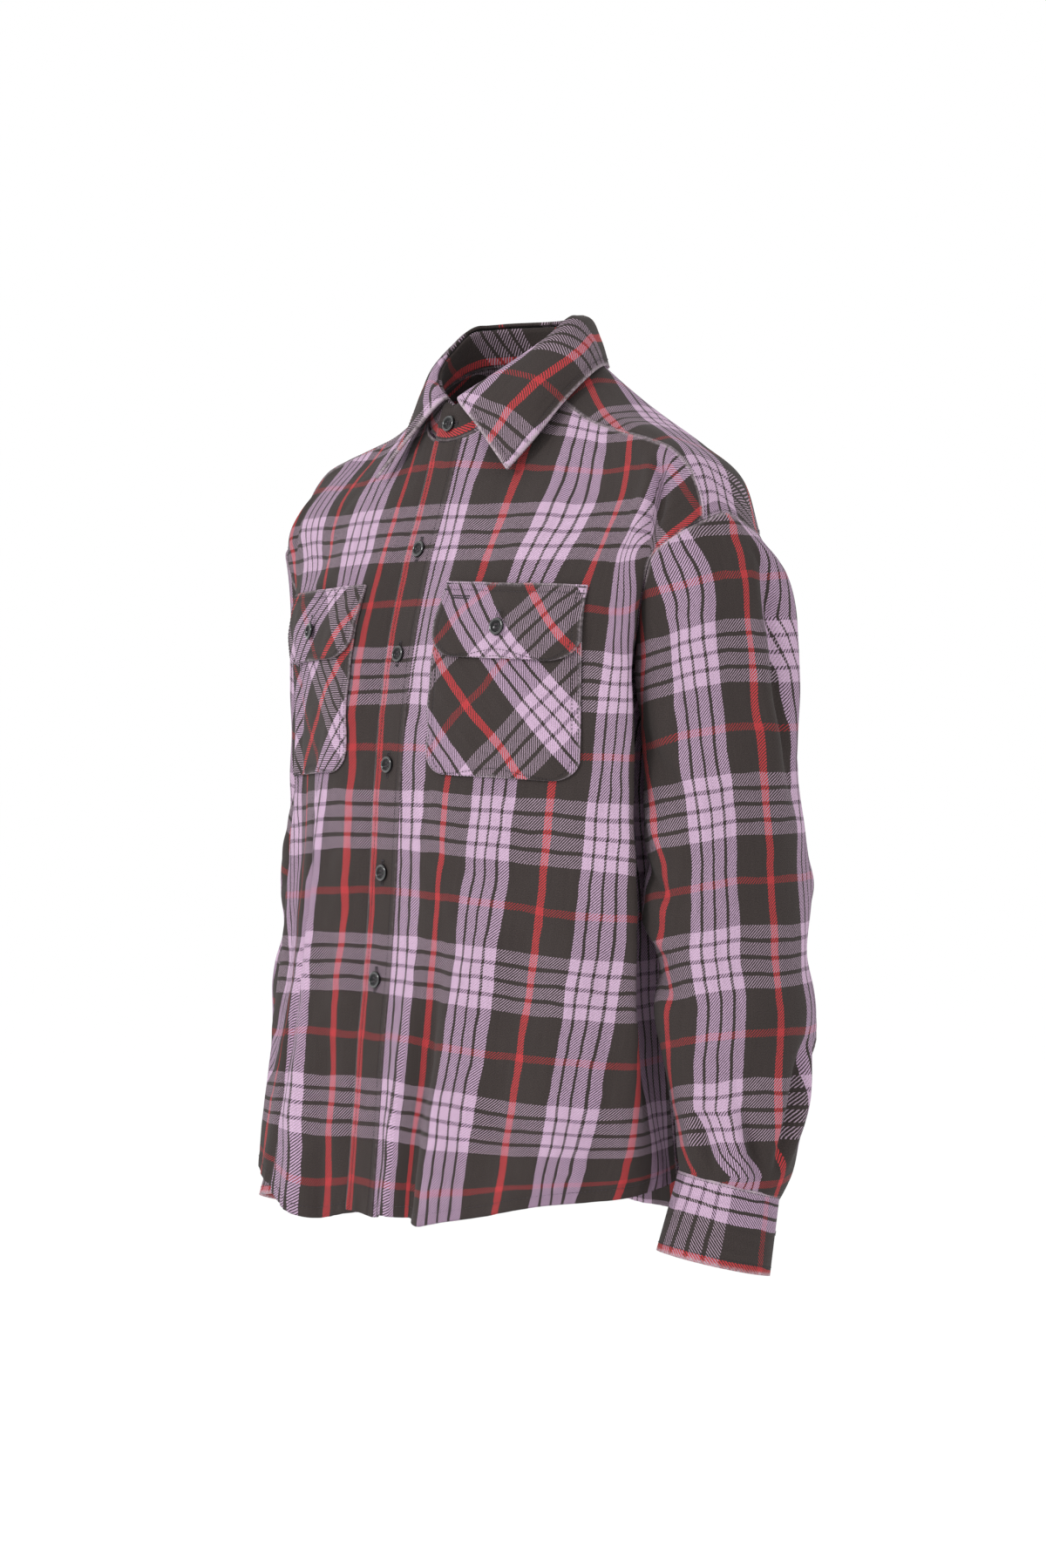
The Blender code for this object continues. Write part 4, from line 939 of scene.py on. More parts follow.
# Rings in millimetres: the middle, half the width and half the depth, and the rise at the outside
# and at the back.
SLEEVE = (
    (213, 14, -190, 48.5, 62, 56, 2),
    (216.5, 15, -224, 49.5, 61, 40, 0),
    (218, 15.5, -260, 50, 59.5, 20, 0),
    (219.5, 17, -300, 51.5, 60, 6, 0),
    (222, 19.5, -349, 53, 65, 0, 0),
    (225.5, 17.5, -384.5, 53, 66.5, 0, 0),
    (232, 17, -424.6, 50.5, 57.5, 0, 0),
    (236.5, 15, -457, 52.5, 63.5, 0, -1),
    (241, 12, -495, 49, 57.5, -1, -3),
    (244, 10.5, -524, 46.5, 52.5, -2, -5),
    (246.5, 8, -550, 43, 46.5, -3, -7),
    (247.5, 4, -570, 40.5, 42.5, -4, -8),
)
SLEEVE_CELLS_DOWN = tuple(cells * FINE for cells in (3, 2, 2, 2, 2, 2, 2, 2, 2, 2, 2, 1, 1))
SLEEVE_CLEAR = 0.0010
SLEEVE_INSIDE, SLEEVE_PAST = 0.0006, 0.003  # how far it lies inside the cuff and below its top edge
CUFF_TOP, CUFF_TOP_RADIUS = np.array([0.247, 0.0, -0.5845]), 0.0368
CUFF_END, CUFF_END_RADIUS = np.array([0.246, -0.0145, -0.641]), 0.0412
CUFF_TILT_OUT, CUFF_TILT_BACK = -0.004, -0.0085


def sleeve_grid(armhole):
    """The wearer's left sleeve, from the armhole's points down to the cuff; its columns close."""
    length = run_length(np.vstack([armhole, armhole[:1]]))
    low = length[np.argmin(armhole[:, 2])]
    turn = np.interp(length[:-1], (0, low, length[-1]), (0, np.pi, 2 * np.pi))
    out, back = np.cos(turn), -np.sin(turn)
    radius = CUFF_TOP_RADIUS - SLEEVE_INSIDE
    end = [*(CUFF_TOP - [0, 0, SLEEVE_PAST]), radius, radius, CUFF_TILT_OUT, CUFF_TILT_BACK]
    rings = [armhole + [SLEEVE_CLEAR, 0, 0]]
    for x, y, z, half_x, half_y, out_up, back_up in [*(np.array(SLEEVE) / 1000), end]:
        z = z + out_up * out + back_up * back
        rings.append(np.stack([x + half_x * out, y + half_y * back, z], axis=1))
    rings = np.array(rings)
    return in_spans(rings, SLEEVE_CELLS_DOWN, run_length(rings.mean(axis=1))), turn


crown = YOKE_CELLS_ROUND[0]
yoke_arm = yoke_left[-1, : sum(YOKE_CELLS_ROUND[:2]) + 1]
armhole = np.vstack([
    yoke_arm[: crown + 1][::-1],
    left[1 : arm_rows + 1, -1],
    back_half[:back_arm_rows, -1][::-1],
    yoke_arm[crown + 1 : -1][::-1],
])
ring, ring_turn = sleeve_grid(armhole)
# The columns are put in order from the underarm seam over the front to the outside and back.
underarm = int(np.argmin(armhole[:, 2]))
order = [*range(underarm, -1, -1), *range(len(armhole) - 1, underarm, -1)]
sleeve = ring[:, order]
sleeve_turn = np.where(np.array(order) <= underarm, -ring_turn[order], 2 * np.pi - ring_turn[order])

# Creases by the way round the arm, from the outside towards the back, and z.
RING = 0.056
SLEEVE_CREASES = (
    (2, -125, 10, -200, 31, -315, 6, -7.5, 0),
    (-12, -130, -4, -210, 14, -310, 9, 3, 0),
    (24, -140, 38, -200, 43, -275, 13, 6, 0),
    (-45, -125, -40, -170, -45, -220, 12, 2, 0),
    (-77, -150, -70, -200, -76, -250, 10, -3, 0),
    (-110, -255, -85, -290, -50, -325, 10, -4.5, 0),
    (-120, -300, -95, -335, -58, -358, 8.5, 4, 0),
    (-126, -345, -95, -374, -58, -385, 8.5, -6, 0),
    (-126, -385, -100, -412, -70, -424, 8.5, 5, 0),
    (-122, -430, -95, -450, -60, -454, 8, -4.5, 0),
    (-30, -400, -10, -425, 12, -440, 10, -1.5, 0),
    (29, -481, 16, -520, 4, -572, 6.5, -8.5, 0),
    (38, -488, 30, -522, 17, -572, 9, 5.5, 0),
    (6, -495, -2, -530, -9, -570, 10, 2.5, 0),
    (-36, -528, -27, -555, -8, -582, 6, -6, 0),
    (-51, -518, -42, -550, -24, -582, 9, 5.5, 0),
    (-76, -532, -70, -555, -57, -576, 6, -4.5, 0),
    (-94, -528, -86, -550, -76, -574, 8, 3.5, 0),
    (60, -300, 86, -350, 122, -370, 12, -5, 0),
    (50, -358, 90, -400, 132, -410, 10, 4.5, 0),
    (58, -420, 100, -442, 142, -440, 10, -5.5, 0),
    (50, -470, 86, -500, 122, -500, 10, 4.5, 0),
    (54, -515, 78, -548, 98, -576, 7, -5.5, 0),
    (84, -535, 100, -558, 114, -578, 7, 4, 0),
    (128, -515, 140, -548, 150, -578, 7, -5.5, 0),
    (150, -255, 166, -300, 172, -345, 10, -4, 0),
    (100, -200, 120, -250, 130, -305, 12, -4.5, 0),
    (70, -160, 90, -220, 100, -285, 12, 4, 0),
)
SLEEVE_STRETCH, SLEEVE_RED = 1.05, 0.0015
# Where folds take up cloth: at some places down the sleeve, the plain lie of a thread round the
# arm and its true place in the cloth, in millimetres.
SLEEVE_LIE = (
    (-155, ((-70, -68), (-38.6, -29.7), (1.4, 0), (12, 29.7))),
    (-115, ((-115, -98), (-80, -68), (-40, -29.7), (-15, 0), (4, 29.7))),
    (-80, ((-120, -98), (-88, -68), (-41.9, -29.7), (-13.3, 0), (0, 29.7))),
    (-40, ((-125, -98), (-80, -68), (-37, -29.7), (-10, 0), (22, 29.7))),
    (0, ((-129, -98), (-72, -68), (-34, -29.7), (-7, 0), (33, 29.7))),
    (40, ((-107, -98), (-69, -68), (-30.5, -29.7), (-3.5, 0), (37, 29.7))),
    (100, ((-90, -98), (-67, -68), (-33, -29.7), (-4.3, 0), (28, 29.7))),
    (165, ((-98, -98), (-70, -68), (-32, -29.7), (-2.4, 0), (29, 29.7))),
)
# The pleats at the cuff take in the cloth beside the lilac band and lead the band forwards.
SLEEVE_PLEATS = (
    (277, ((-68, -68), (-29.7, -29.7), (0, 0))),
    (297, ((-55, -68), (-24.9, -29.7), (1.9, 0))),
    (307, ((-48.6, -68), (-20.3, -29.7), (8, 0))),
    (324, ((-26.7, -68), (-3.3, -29.7), (16, 0))),
)
SLEEVE_CALM, SLEEVE_CALM_CUFF, SLEEVE_SWELL = 0.03, 0.004, (0.0006, 0.07)
SLEEVE_WEFT_SAG, SAG_FROM, SAG_OVER = 0.17, 0.03, 0.1
SLEEVE_WEFT_ROW, SLEEVE_WEFT_RED = -0.300, 0.255


def sleeve_shape():
    """The sleeve with its creases, calm at the armhole and at the cuff."""
    places = np.stack([np.broadcast_to(sleeve_turn * RING, sleeve.shape[:2]), sleeve[..., 2]], axis=-1)
    down = run_length(sleeve)
    calm = np.minimum(calm_by(down, SLEEVE_CALM), calm_by(down[-1] - down, SLEEVE_CALM_CUFF))
    around = 2000 * math.pi * RING
    wrapped = [
        np.array(crease) + [wrap, 0, wrap, 0, wrap, 0, 0, 0, 0]
        for crease in SLEEVE_CREASES for wrap in (-around, 0, around)
    ]
    turn_places = np.stack([np.cos(sleeve_turn) * RING + 0 * sleeve[..., 2], sleeve[..., 2]], axis=-1)
    low_swell = uneven(turn_places, *SLEEVE_SWELL, 5.0) * calm
    return lifted(creased(sleeve, places, wrapped, calm, closed=True), low_swell, closed=True)


def sleeve_weave():
    """Straight grain, by the distance round the arm from the top of the armhole."""
    whole = np.concatenate([sleeve, sleeve[:, :1]], axis=1)
    round_arm, down = run_across(whole), run_length(whole)
    level = np.array([np.interp(-SLEEVE_WEFT_ROW, -z, line) for z, line in zip(whole[..., 2].T, down.T)])
    across = (round_arm - round_arm[:, underarm, None]) * SLEEVE_STRETCH + SLEEVE_RED
    along = down - level - (SLEEVE_WEFT_RED + SLEEVE_WEFT_ROW)
    sag = SLEEVE_WEFT_SAG * np.clip(-SAG_FROM - across, 0, SAG_OVER)
    return np.stack([relaid(relaid(across, along, SLEEVE_LIE), along, SLEEVE_PLEATS), along - sag], axis=-1)


def both_sides(shape, weave, turn):
    """A piece on the wearer's left, and the same piece turned over for the right."""
    return ("left", shape, weave), ("right", mirrored(shape), (weave * turn)[:, ::-1])


sleeve_cloth = sleeve_shape()
sleeve_seam = from_edges(sleeve, "top", "bottom")
for side, shape, weave in both_sides(sleeve_cloth, sleeve_weave(), [-1, 1]):
    if side == "right":
        shape = np.roll(shape, 1, axis=1)
    piece = cloth_piece(f"sleeve_{side}_cloth", shape, weave, sleeve_seam, FLANNEL, closed=True)
    dress(piece, f"sleeve_{side}", flat=(0.44, 0.50), held="draped", area=0.165)

# ---------------------------------------------------------------- sleeve plackets
# A narrow strip of flannel binds the slit above each cuff, stitched flat onto the sleeve.

CUFF_START, CUFF_LAP = 68, 24
SLIT_WIDE, SLIT_FROM = 34, 8
PATCH, PATCH_SEAT, PATCH_ROW = 0.0013, 0.0004, 0.0018
STRIP_COLUMNS, STRIP_GRAIN = 13, (0.012, 0.2)  # and the place of its corner in the cloth

places = np.interp(np.radians([CUFF_START, CUFF_START + SLIT_WIDE]), sleeve_turn, np.arange(len(sleeve_turn)))
strip_rows = np.arange(sum(SLEEVE_CELLS_DOWN[:SLIT_FROM]), sleeve.shape[0] - 1.0, 2.0)
strip, strip_facing = facets(sleeve_cloth, grid_normals(sleeve_cloth, closed=True),
                             strip_rows[:, None], np.linspace(*places, STRIP_COLUMNS)[None, :])
strip = strip + strip_facing * (PATCH + PATCH_SEAT)
strip_weave = np.stack([run_across(strip), run_length(strip)], axis=-1) + STRIP_GRAIN
strip_seam = from_edges(strip, "top", "left", "right")
for side, shape, weave in both_sides(strip, strip_weave, [-1, 1]):
    piece = cloth_piece(f"sleeve_placket_{side}_strip", shape, weave, strip_seam, FLANNEL, PATCH)
    dress(piece, f"sleeve_placket_{side}", flat=(0.030, 0.14), held="laid", rests_on=[f"sleeve_{side}_cloth"])
    sewn_rows(f"sleeve_placket_{side}_stitches", [
        stitch_row(shape, edge, PATCH_ROW) for edge in ("left", "right")
    ])

# ---------------------------------------------------------------- cuffs
# Each cuff is two layers of flannel on the cross grain, lapped behind the wrist and buttoned.

CUFF_THICK, CUFF_SEAT = 0.0030, 0.0004
CUFF_STEPS_ROUND, CUFF_STEPS_DOWN = 150, 20
CUFF_WARP_FROM, CUFF_WEFT_RED = 0.0415, 0.0983
CUFF_TUCK_FROM, CUFF_TUCK_OVER = 330, 30  # degrees round, where its end slips under its start
CUFF_RUB, CUFF_ROW = 0.9, 0.006
CUFF_ROWS = (("top", EDGE_ROW), ("top", 0.007), ("bottom", CUFF_ROW))


def cuff_point(turn, share):
    """A point of the cuff's outer face, by its angle from the outside over the front."""
    centre = CUFF_TOP + (CUFF_END - CUFF_TOP) * share
    radius = CUFF_TOP_RADIUS + (CUFF_END_RADIUS - CUFF_TOP_RADIUS) * share
    out, back = math.cos(turn), -math.sin(turn)
    return centre + [radius * out, radius * back, CUFF_TILT_OUT * out + CUFF_TILT_BACK * back]


cuff = []
for angle in np.linspace(CUFF_START, CUFF_START + 360 + CUFF_LAP, CUFF_STEPS_ROUND):
    tucked = np.clip((angle - CUFF_START - CUFF_TUCK_FROM) / CUFF_TUCK_OVER, 0, 1) * (CUFF_THICK + CUFF_SEAT)
    turn = -math.radians(angle)
    column, opposite = (
        np.array([cuff_point(way, share) for share in np.linspace(0, 1, CUFF_STEPS_DOWN)])
        for way in (turn, turn - math.pi)
    )
    cuff.append(column - unit(column - opposite) * tucked)
cuff = np.array(cuff).transpose(1, 0, 2)
# The cuff is unrolled square to its edges, from the ring half way down.
cuff_way = unit(np.gradient(cuff, axis=1))
cuff_step = np.diff(cuff, axis=0)
cuff_slip = (cuff_step * (cuff_way[1:] + cuff_way[:-1]) / 2).sum(axis=-1)
cuff_fall = np.sqrt(np.maximum((cuff_step**2).sum(axis=-1) - cuff_slip**2, 0))
cuff_down, cuff_over = (
    np.vstack([np.zeros(cuff.shape[1]), np.cumsum(steps, axis=0)]) for steps in (cuff_fall, cuff_slip)
)
half_down = len(cuff) // 2
cuff_over += run_across(cuff)[half_down] - cuff_over[half_down]
cuff_weave = np.stack([cuff_down + CUFF_WARP_FROM, CUFF_WEFT_RED - cuff_over], axis=-1)
CUFF_FLANNEL = flannel("plaid flannel, cuff", CUFF_RUB, CUFF_ROW)
cuff_seam = from_edges(cuff, "top", "bottom", "left")
for side, shape, weave in both_sides(cuff, cuff_weave, [1, -1]):
    piece = cloth_piece(f"cuff_{side}_cloth", shape, weave, cuff_seam, CUFF_FLANNEL, CUFF_THICK)
    dress(piece, f"cuff_{side}", flat=(0.27, 0.063), held="stretched")
    sewn_rows(f"cuff_{side}_stitches", [stitch_row(shape, *row) for row in CUFF_ROWS])

# ---------------------------------------------------------------- pockets and flaps
# Two chest pockets and their flaps, cut on the bias and edge-stitched onto the fronts. The flap
# on the wearer's left has a narrow pencil opening in its seam.

POCKET_CORNER, FLAP_CORNER = 0.62 * FINE, 0.75 * FINE
CORNER_STEPS, PATCH_COLUMNS = 10, 49
POCKET_LIFT, FLAP_LIFT = (0.0022, 0.0022), (0.0026, 0.0052)  # off the front, at the top and below
FLAP_THICK = 0.0022
row_of, column_of = (np.cumsum([0, *cells]) for cells in (FRONT_CELLS_DOWN, FRONT_CELLS_ACROSS))
POCKET_TOP, FLAP_END, POCKET_END = row_of[3], row_of[5], row_of[8]
FLAP_TOP = POCKET_TOP - 0.35 * FINE
POCKET_HALF = (column_of[5] - column_of[3]) / 2
POCKET_MIDDLE = {"left": column_of[4], "right": column_of[-1] - column_of[4]}
# How far a pocket's edges are drawn in, in grid columns: inner and outer edge, at the top and lower down.
DRAWN_IN = {"left": ((0.40, 0.20), (-0.05, -0.65)), "right": ((0.0, 0.0), (0.0, 0.0))}


def rounded_patch(surface, middle, first, last, corner, lift, drawn):
    """Outer points of a patch on a front whose two lower corners are rounded."""
    rounding = 1 - np.sin(np.linspace(0, math.pi / 2, CORNER_STEPS + 1))
    places = np.array([*np.arange(first, last - corner, 0.5), *(last - corner * rounding)])
    depth = np.clip(places - (last - corner), 0, corner) / corner
    inset = corner * (1 - np.sqrt(np.maximum(0, 1 - depth**2)))
    across = np.linspace(-1, 1, PATCH_COLUMNS)
    columns = middle + across[None, :] * (POCKET_HALF - inset[:, None])
    lower = np.clip((places - POCKET_TOP) / (POCKET_END - POCKET_TOP), 0, 1)
    inner, outer = (np.interp(lower, (0, 1), edge)[:, None] for edge in drawn)
    columns = columns + (inner * (1 - across) + outer * (1 + across)) / 2
    points, facing = facets(*surface, places[:, None], columns)
    return points + facing * np.interp(places, (POCKET_TOP, POCKET_TOP + FINE), lift)[:, None, None]


def bias(points, side):
    """The cloth turned by 45 degrees, one way on each side."""
    right, down = run_across(points), run_length(points)
    right = right - right[:, right.shape[1] // 2, None]
    down = np.repeat(down[:, down.shape[1] // 2, None], down.shape[1], axis=1)
    turned = 1 if side == "left" else -1
    return np.stack([right - turned * down, turned * right + down], axis=-1) / math.sqrt(2)


SECOND_ROW, POCKET_RUB = 0.0066, 0.42
POCKET_EDGES = {"left": (0.0, 0.95), "right": (0.0, 0.95), "bottom": (0.02, 0.98)}  # reach of the second row
BAR_PITCH, BAR_LONG, BAR_THICK = 0.00055, 0.0014, 0.00026
BAR_ENDS = (0.0, 0.045), (0.955, 1.0)
BAR_ROWS = ((PATCH_ROW, BAR_ENDS), (SECOND_ROW, BAR_ENDS))
SLOT_ROWS = ((0.0116, ((0.08, 0.225),)), (0.0134, ((0.08, 0.225),)))  # the left flap's pencil slot
POCKET_FLANNEL = flannel("plaid flannel, pockets", POCKET_RUB, SECOND_ROW)
POCKET_RED = {"left": (-0.018, -0.043), "right": (-0.076, 0.030)}
FLAP_RED = {"left": (-0.011, 0.011), "right": (-0.061, -0.030)}


def double_rows(name, grid, *whole):
    """Two rows of stitches along a patch's sides and bottom, and along the edges named besides."""
    reaches = {**POCKET_EDGES, **{edge: (0, 1) for edge in whole}}
    sewn_rows(name, [
        *[stitch_row(grid, edge, PATCH_ROW) for edge in reaches],
        *[stitch_row(grid, edge, SECOND_ROW, share) for edge, share in reaches.items()],
    ])


for side, surface in (("left", (left_shape, left_normals)), ("right", (right_shape, right_normals))):
    middle, drawn = POCKET_MIDDLE[side], DRAWN_IN[side]
    patch = rounded_patch(surface, middle, POCKET_TOP, POCKET_END, POCKET_CORNER, POCKET_LIFT, drawn)
    lid = rounded_patch(surface, middle, FLAP_TOP, FLAP_END, FLAP_CORNER, FLAP_LIFT, drawn)
    pocket = cloth_piece(f"pocket_{side}_patch", patch, bias(patch, side) + POCKET_RED[side],
                         from_edges(patch, "bottom", "left", "right"), POCKET_FLANNEL, PATCH)
    flap = cloth_piece(f"flap_{side}_patch", lid, bias(lid, side) + FLAP_RED[side],
                       from_edges(lid, "top", "bottom", "left", "right"), POCKET_FLANNEL, FLAP_THICK)
    dress(pocket, f"pocket_{side}", flat=(0.132, 0.14), held="laid", rests_on=[f"front_{side}_cloth"])
    dress(flap, f"flap_{side}", flat=(0.132, 0.063), held="laid", rests_on=[f"front_{side}_cloth"])
    double_rows(f"pocket_{side}_stitches", patch)
    bars = bmesh.new()
    for inset, shares in (*BAR_ROWS, *(SLOT_ROWS if side == "left" else ())):
        for share in shares:
            row = stitch_row(lid, "top", inset, share)
            add_stitches(bars, *row, BAR_PITCH, BAR_LONG, BAR_THICK, across=True)
    thread_piece(f"flap_{side}_bars", bars)
    double_rows(f"flap_{side}_stitches", lid, "top")

# ---------------------------------------------------------------- collar stand
# A band of two layers round the neck, sewn to the yoke and the fronts, buttoned at the throat.

STAND_TOP = {0: -0.0135, 31: 0.0040, 55: 0.0200, 75: 0.0345, 95: 0.0500, 115: 0.0530, 180: 0.0545}
LEAN_FRONT, LEAN_BACK = 0.0065, 0.0105
STAND_END, STAND_RISE = 14, 0.0008
STAND_THICK, STAND_SEAT = 0.0026, 0.0008
STAND_TUCK_FROM, STAND_TUCK_OVER = 300, 40  # degrees round, where its end slips under its start
STAND_LOW_END, STAND_ROUNDING = 0.45, 0.55  # height of its end, and how much of the end is rounded
STAND_STEPS_ROUND, STAND_STEPS_DOWN, STAND_RUB = 230, 9, 0.25
HALF_TURN = (*np.linspace(STAND_END, SHOULDER_SEAM_ANGLE, 4),
             80, 90, 100, 110, 118, 127, 135, 146, 158, 169, 180)
STAND_WARP_FROM, STAND_WEFT_FROM = 0.006, 0.1135
STAND_DRAWN, STAND_DRAWN_OVER = 0.365, 0.045  # its cloth is drawn out at the front end


def stand_point(angle, share):
    """A point on the stand's outer face, from the neck seam (0) to its top edge (1)."""
    base = neck_point(angle)
    around = abs((angle + 180) % 360 - 180)
    top = through(list(STAND_TOP.values()), np.array([float(around)]), list(STAND_TOP))[0]
    lean = LEAN_FRONT + (LEAN_BACK - LEAN_FRONT) * (1 - math.cos(math.radians(angle))) / 2
    inward = -lean * share / math.hypot(base[0], base[1])
    return base + [base[0] * inward, base[1] * inward, (top - base[2]) * share]


stand = []
for angle in np.linspace(-STAND_END, 360 + STAND_END, STAND_STEPS_ROUND):
    tucked = np.clip((angle - STAND_TUCK_FROM) / STAND_TUCK_OVER, 0, 1) * (STAND_THICK + STAND_SEAT)
    ends = np.clip((angle + STAND_END) / (STAND_END * STAND_ROUNDING), 0, 1)
    highest = STAND_LOW_END + (1 - STAND_LOW_END) * math.sqrt(1 - (1 - ends) ** 2)
    column = np.array([stand_point(angle, share * highest) for share in np.linspace(1, 0, STAND_STEPS_DOWN)])
    column[:, :2] -= unit(column[:, :2]) * tucked
    stand.append(column + [0, 0, STAND_RISE])
stand = np.array(stand).transpose(1, 0, 2)
stand_round, stand_down = run_across(stand), run_length(stand)
# Its front end is cut from the dark ground between two weft bands.
stand_along = stand_round + STAND_WEFT_FROM - STAND_DRAWN * np.minimum(stand_round, STAND_DRAWN_OVER)
stand_weave = np.stack([stand_down[-1] - stand_down - STAND_WARP_FROM, stand_along], axis=-1)
dress(cloth_piece("collar_stand_band", stand, stand_weave, from_edges(stand, "bottom", "left"),
                  flannel("plaid flannel, stand", STAND_RUB), STAND_THICK), "collar_stand",
      flat=(0.45, 0.045), held="stretched", area=0.0165)
sewn_rows("collar_stand_stitches", [stitch_row(stand, "bottom", EDGE_ROW)])

# ---------------------------------------------------------------- collar leaf
# The collar's fall: two layers sewn to the stand's top edge and turned down to two points.

LEAF_THICK, LEAF_UP, LEAF_OUT, LEAF_ROW = 0.0024, 0.0040, 0.0041, 0.006
# The outer edge in millimetres, by its angle round the neck: x, y, z, and how far the leaf bows out.
LEAF_BACK = ((115, 66.5, 36.5, 19.5, 2), (145, 37, 64, 20.5, 2), (180, 0, 77, 20, 3))
LEAF_LEFT = ((8, 81, -73.5, -64, 4), (30, 93.5, -56, -40, 6), (55, 96, -30, -13, 8), (85, 88, 6, 11.5, 5),
             *LEAF_BACK)
LEAF_RIGHT = ((8, 80.5, -73.5, -63.5, 1), (30, 75, -54.5, -39.5, 1), (55, 80, -30, -5, 2), (85, 81, 6, 15, 4),
              *LEAF_BACK)
LEAF_CELLS_OUT, LEAF_KNOTS = (6, 10, 10), np.array([0.0, 0.005, 0.022, 0.045])
LEAF_HALF_WAY, LEAF_TUCKED, LEAF_BOW_UP, LEAF_OVER = 0.45, 0.0006, 0.4, 0.55
LEVEL = [1, 1, 0]
LEAF_LIE = (
    (-180, ((0, 0), (18, 20), (29.5, 36.8))),
    (-121, ((0, 0), (17, 18), (28, 34.5))),
    (-95, ((0, 0), (16, 16), (25.5, 31))),
    (-50, ((0, 0), (22.9, 23.5), (24, 24.6))),
)
LEAF_RED_FALL = ((0.0, 0.022), (0.089, 0.0246), (0.165, 0.0395), (0.200, 0.0525), (0.227, 0.0680))
LEAF_WEFT_RED = 0.053


def leaf_half(table):
    """Half a leaf: rows from the fold out, columns from the point at the front to the back."""
    table = np.array(table, float)
    coarse = np.array([table[0, 0], *HALF_TURN])
    lines = []
    for angle, (*edge, bow) in zip(coarse, through(table[:, 1:] / 1000, coarse, table[:, 0])):
        top = stand_point(angle, 1) + [0, 0, STAND_RISE]
        outward = unit(top * LEVEL)
        over = top + outward * LEAF_OUT + [0, 0, LEAF_UP * LEAF_OVER]
        half = over * (1 - LEAF_HALF_WAY) + np.array(edge) * LEAF_HALF_WAY
        bowed = half + unit(half * LEVEL) * bow + [0, 0, bow * LEAF_BOW_UP]
        lines.append([top - outward * LEAF_TUCKED + [0, 0, LEAF_UP], over, bowed, edge])
    half = in_spans(np.array(lines).transpose(1, 0, 2), LEAF_CELLS_OUT, LEAF_KNOTS)
    return in_spans(half.transpose(1, 0, 2), [FINE] * (len(coarse) - 1), coarse).transpose(1, 0, 2)


leaf = np.concatenate([leaf_half(LEAF_LEFT), mirrored(leaf_half(LEAF_RIGHT))[:, 1:]], axis=1)
leaf_place = run_across(leaf)
leaf_place = leaf_place - leaf_place[:, leaf_place.shape[1] // 2, None]
# The red warp stripe keeps to the leaf's outer edge, which falls away from the fold at the points.
leaf_red = np.interp(np.abs(leaf_place), *zip(*LEAF_RED_FALL))
leaf_along = leaf_place + LEAF_WEFT_RED
leaf_weave = np.stack([relaid(run_length(leaf) - leaf_red, leaf_along, LEAF_LIE), leaf_along], axis=-1)
leaf_seam = from_edges(leaf, "bottom", "left", "right")
dress(cloth_piece("collar_leaf", leaf, leaf_weave, leaf_seam, CUFF_FLANNEL, LEAF_THICK), "collar",
      flat=(0.46, 0.085), held="folded", area=0.030)
sewn_rows("collar_leaf_stitches", [stitch_row(leaf, edge, LEAF_ROW) for edge in ("left", "right", "bottom")])

# ---------------------------------------------------------------- buttons
# Ten glossy black resin buttons with a raised rim and four holes, sewn on with dark thread. Each
# stands on its stitched buttonhole.

# Radius and height of the button's outline, from the middle of its back round to its front.
BUTTON_OUTLINE = ((0.0, 0.0), (0.0048, 0.0), (0.0060, 0.0005), (0.0065, 0.0012), (0.0065, 0.0017),
                  (0.0062, 0.0023), (0.0057, 0.0027), (0.0051, 0.0028), (0.0045, 0.0025), (0.0040, 0.0017),
                  (0.0035, 0.0013), (0.0, 0.00125))
BUTTON_STEPS, BUTTON_WAIST = 36, 0.0014
RIM = 0.0043, 0.0062  # radius where the polished rim starts and ends
WELL_Z = BUTTON_OUTLINE[-1][1]
# Each hole is not cut but covered by a flat disc of the dark thread: partly the thread in the hole, partly
# painted shade of its depth.
BUTTON_HOLE, HOLE_APART = 0.00085, 0.0014
STRAND_APART, STRAND_LONG, STRAND_REACH = 0.0003, 0.0034, 1.25 * HOLE_APART
BODY_HALF, ARM_X, FORM_Y = 0.2, 0.245, 0.02  # where the body ends and the arms' middles are
BUTTONHOLE_HALF, BUTTONHOLE_SIDE, BUTTONHOLE_PITCH, BUTTONHOLE_LIFT = 0.00925, 0.0011, 0.00062, 0.0005
SATIN, END_BAR = (0.0015, 0.00024), (0.0016, 0.00026)  # length and half thickness of a stitch
END_REACH, END_CLOSER = 1.6, 0.8
HOLE_LIFT, STRAND_LIFT = 0.0001, 0.00022
HANG = 0.0030  # the flaps hang on their buttons, so there the hole reaches further up


def resin(name, gloss_to, level, coat):
    """Glossy black resin with fine rubbing."""
    material, tree, shader = new_material(
        name, Base_Color=(0.003, 0.003, 0.0035, 1), Specular_IOR_Level=level,
        Coat_Weight=coat, Coat_IOR=1.65, Coat_Roughness=0.06)
    rubbing = noise(tree, put(tree, "TexCoord").outputs["Object"], Scale=900.0, Detail=3.0)
    fill(tree, shader, Roughness=ranged(tree, rubbing, 0.0, 1.0, 0.4 * gloss_to, gloss_to))
    return material


def button_place(node):
    """The middle of a button's back and the way it faces, from its solid."""
    points = np.array([node.matrix_world @ vertex.co for vertex in node.data.vertices])
    middle = points.mean(axis=0)
    out = np.linalg.svd(points - middle, full_matrices=False)[2][2]
    inside = [math.copysign(ARM_X, middle[0]) if abs(middle[0]) > BODY_HALF else 0.0, FORM_Y, middle[2]]
    if out @ (middle - inside) < 0:
        out = -out
    return middle + out * ((points - middle) @ out).min(), out


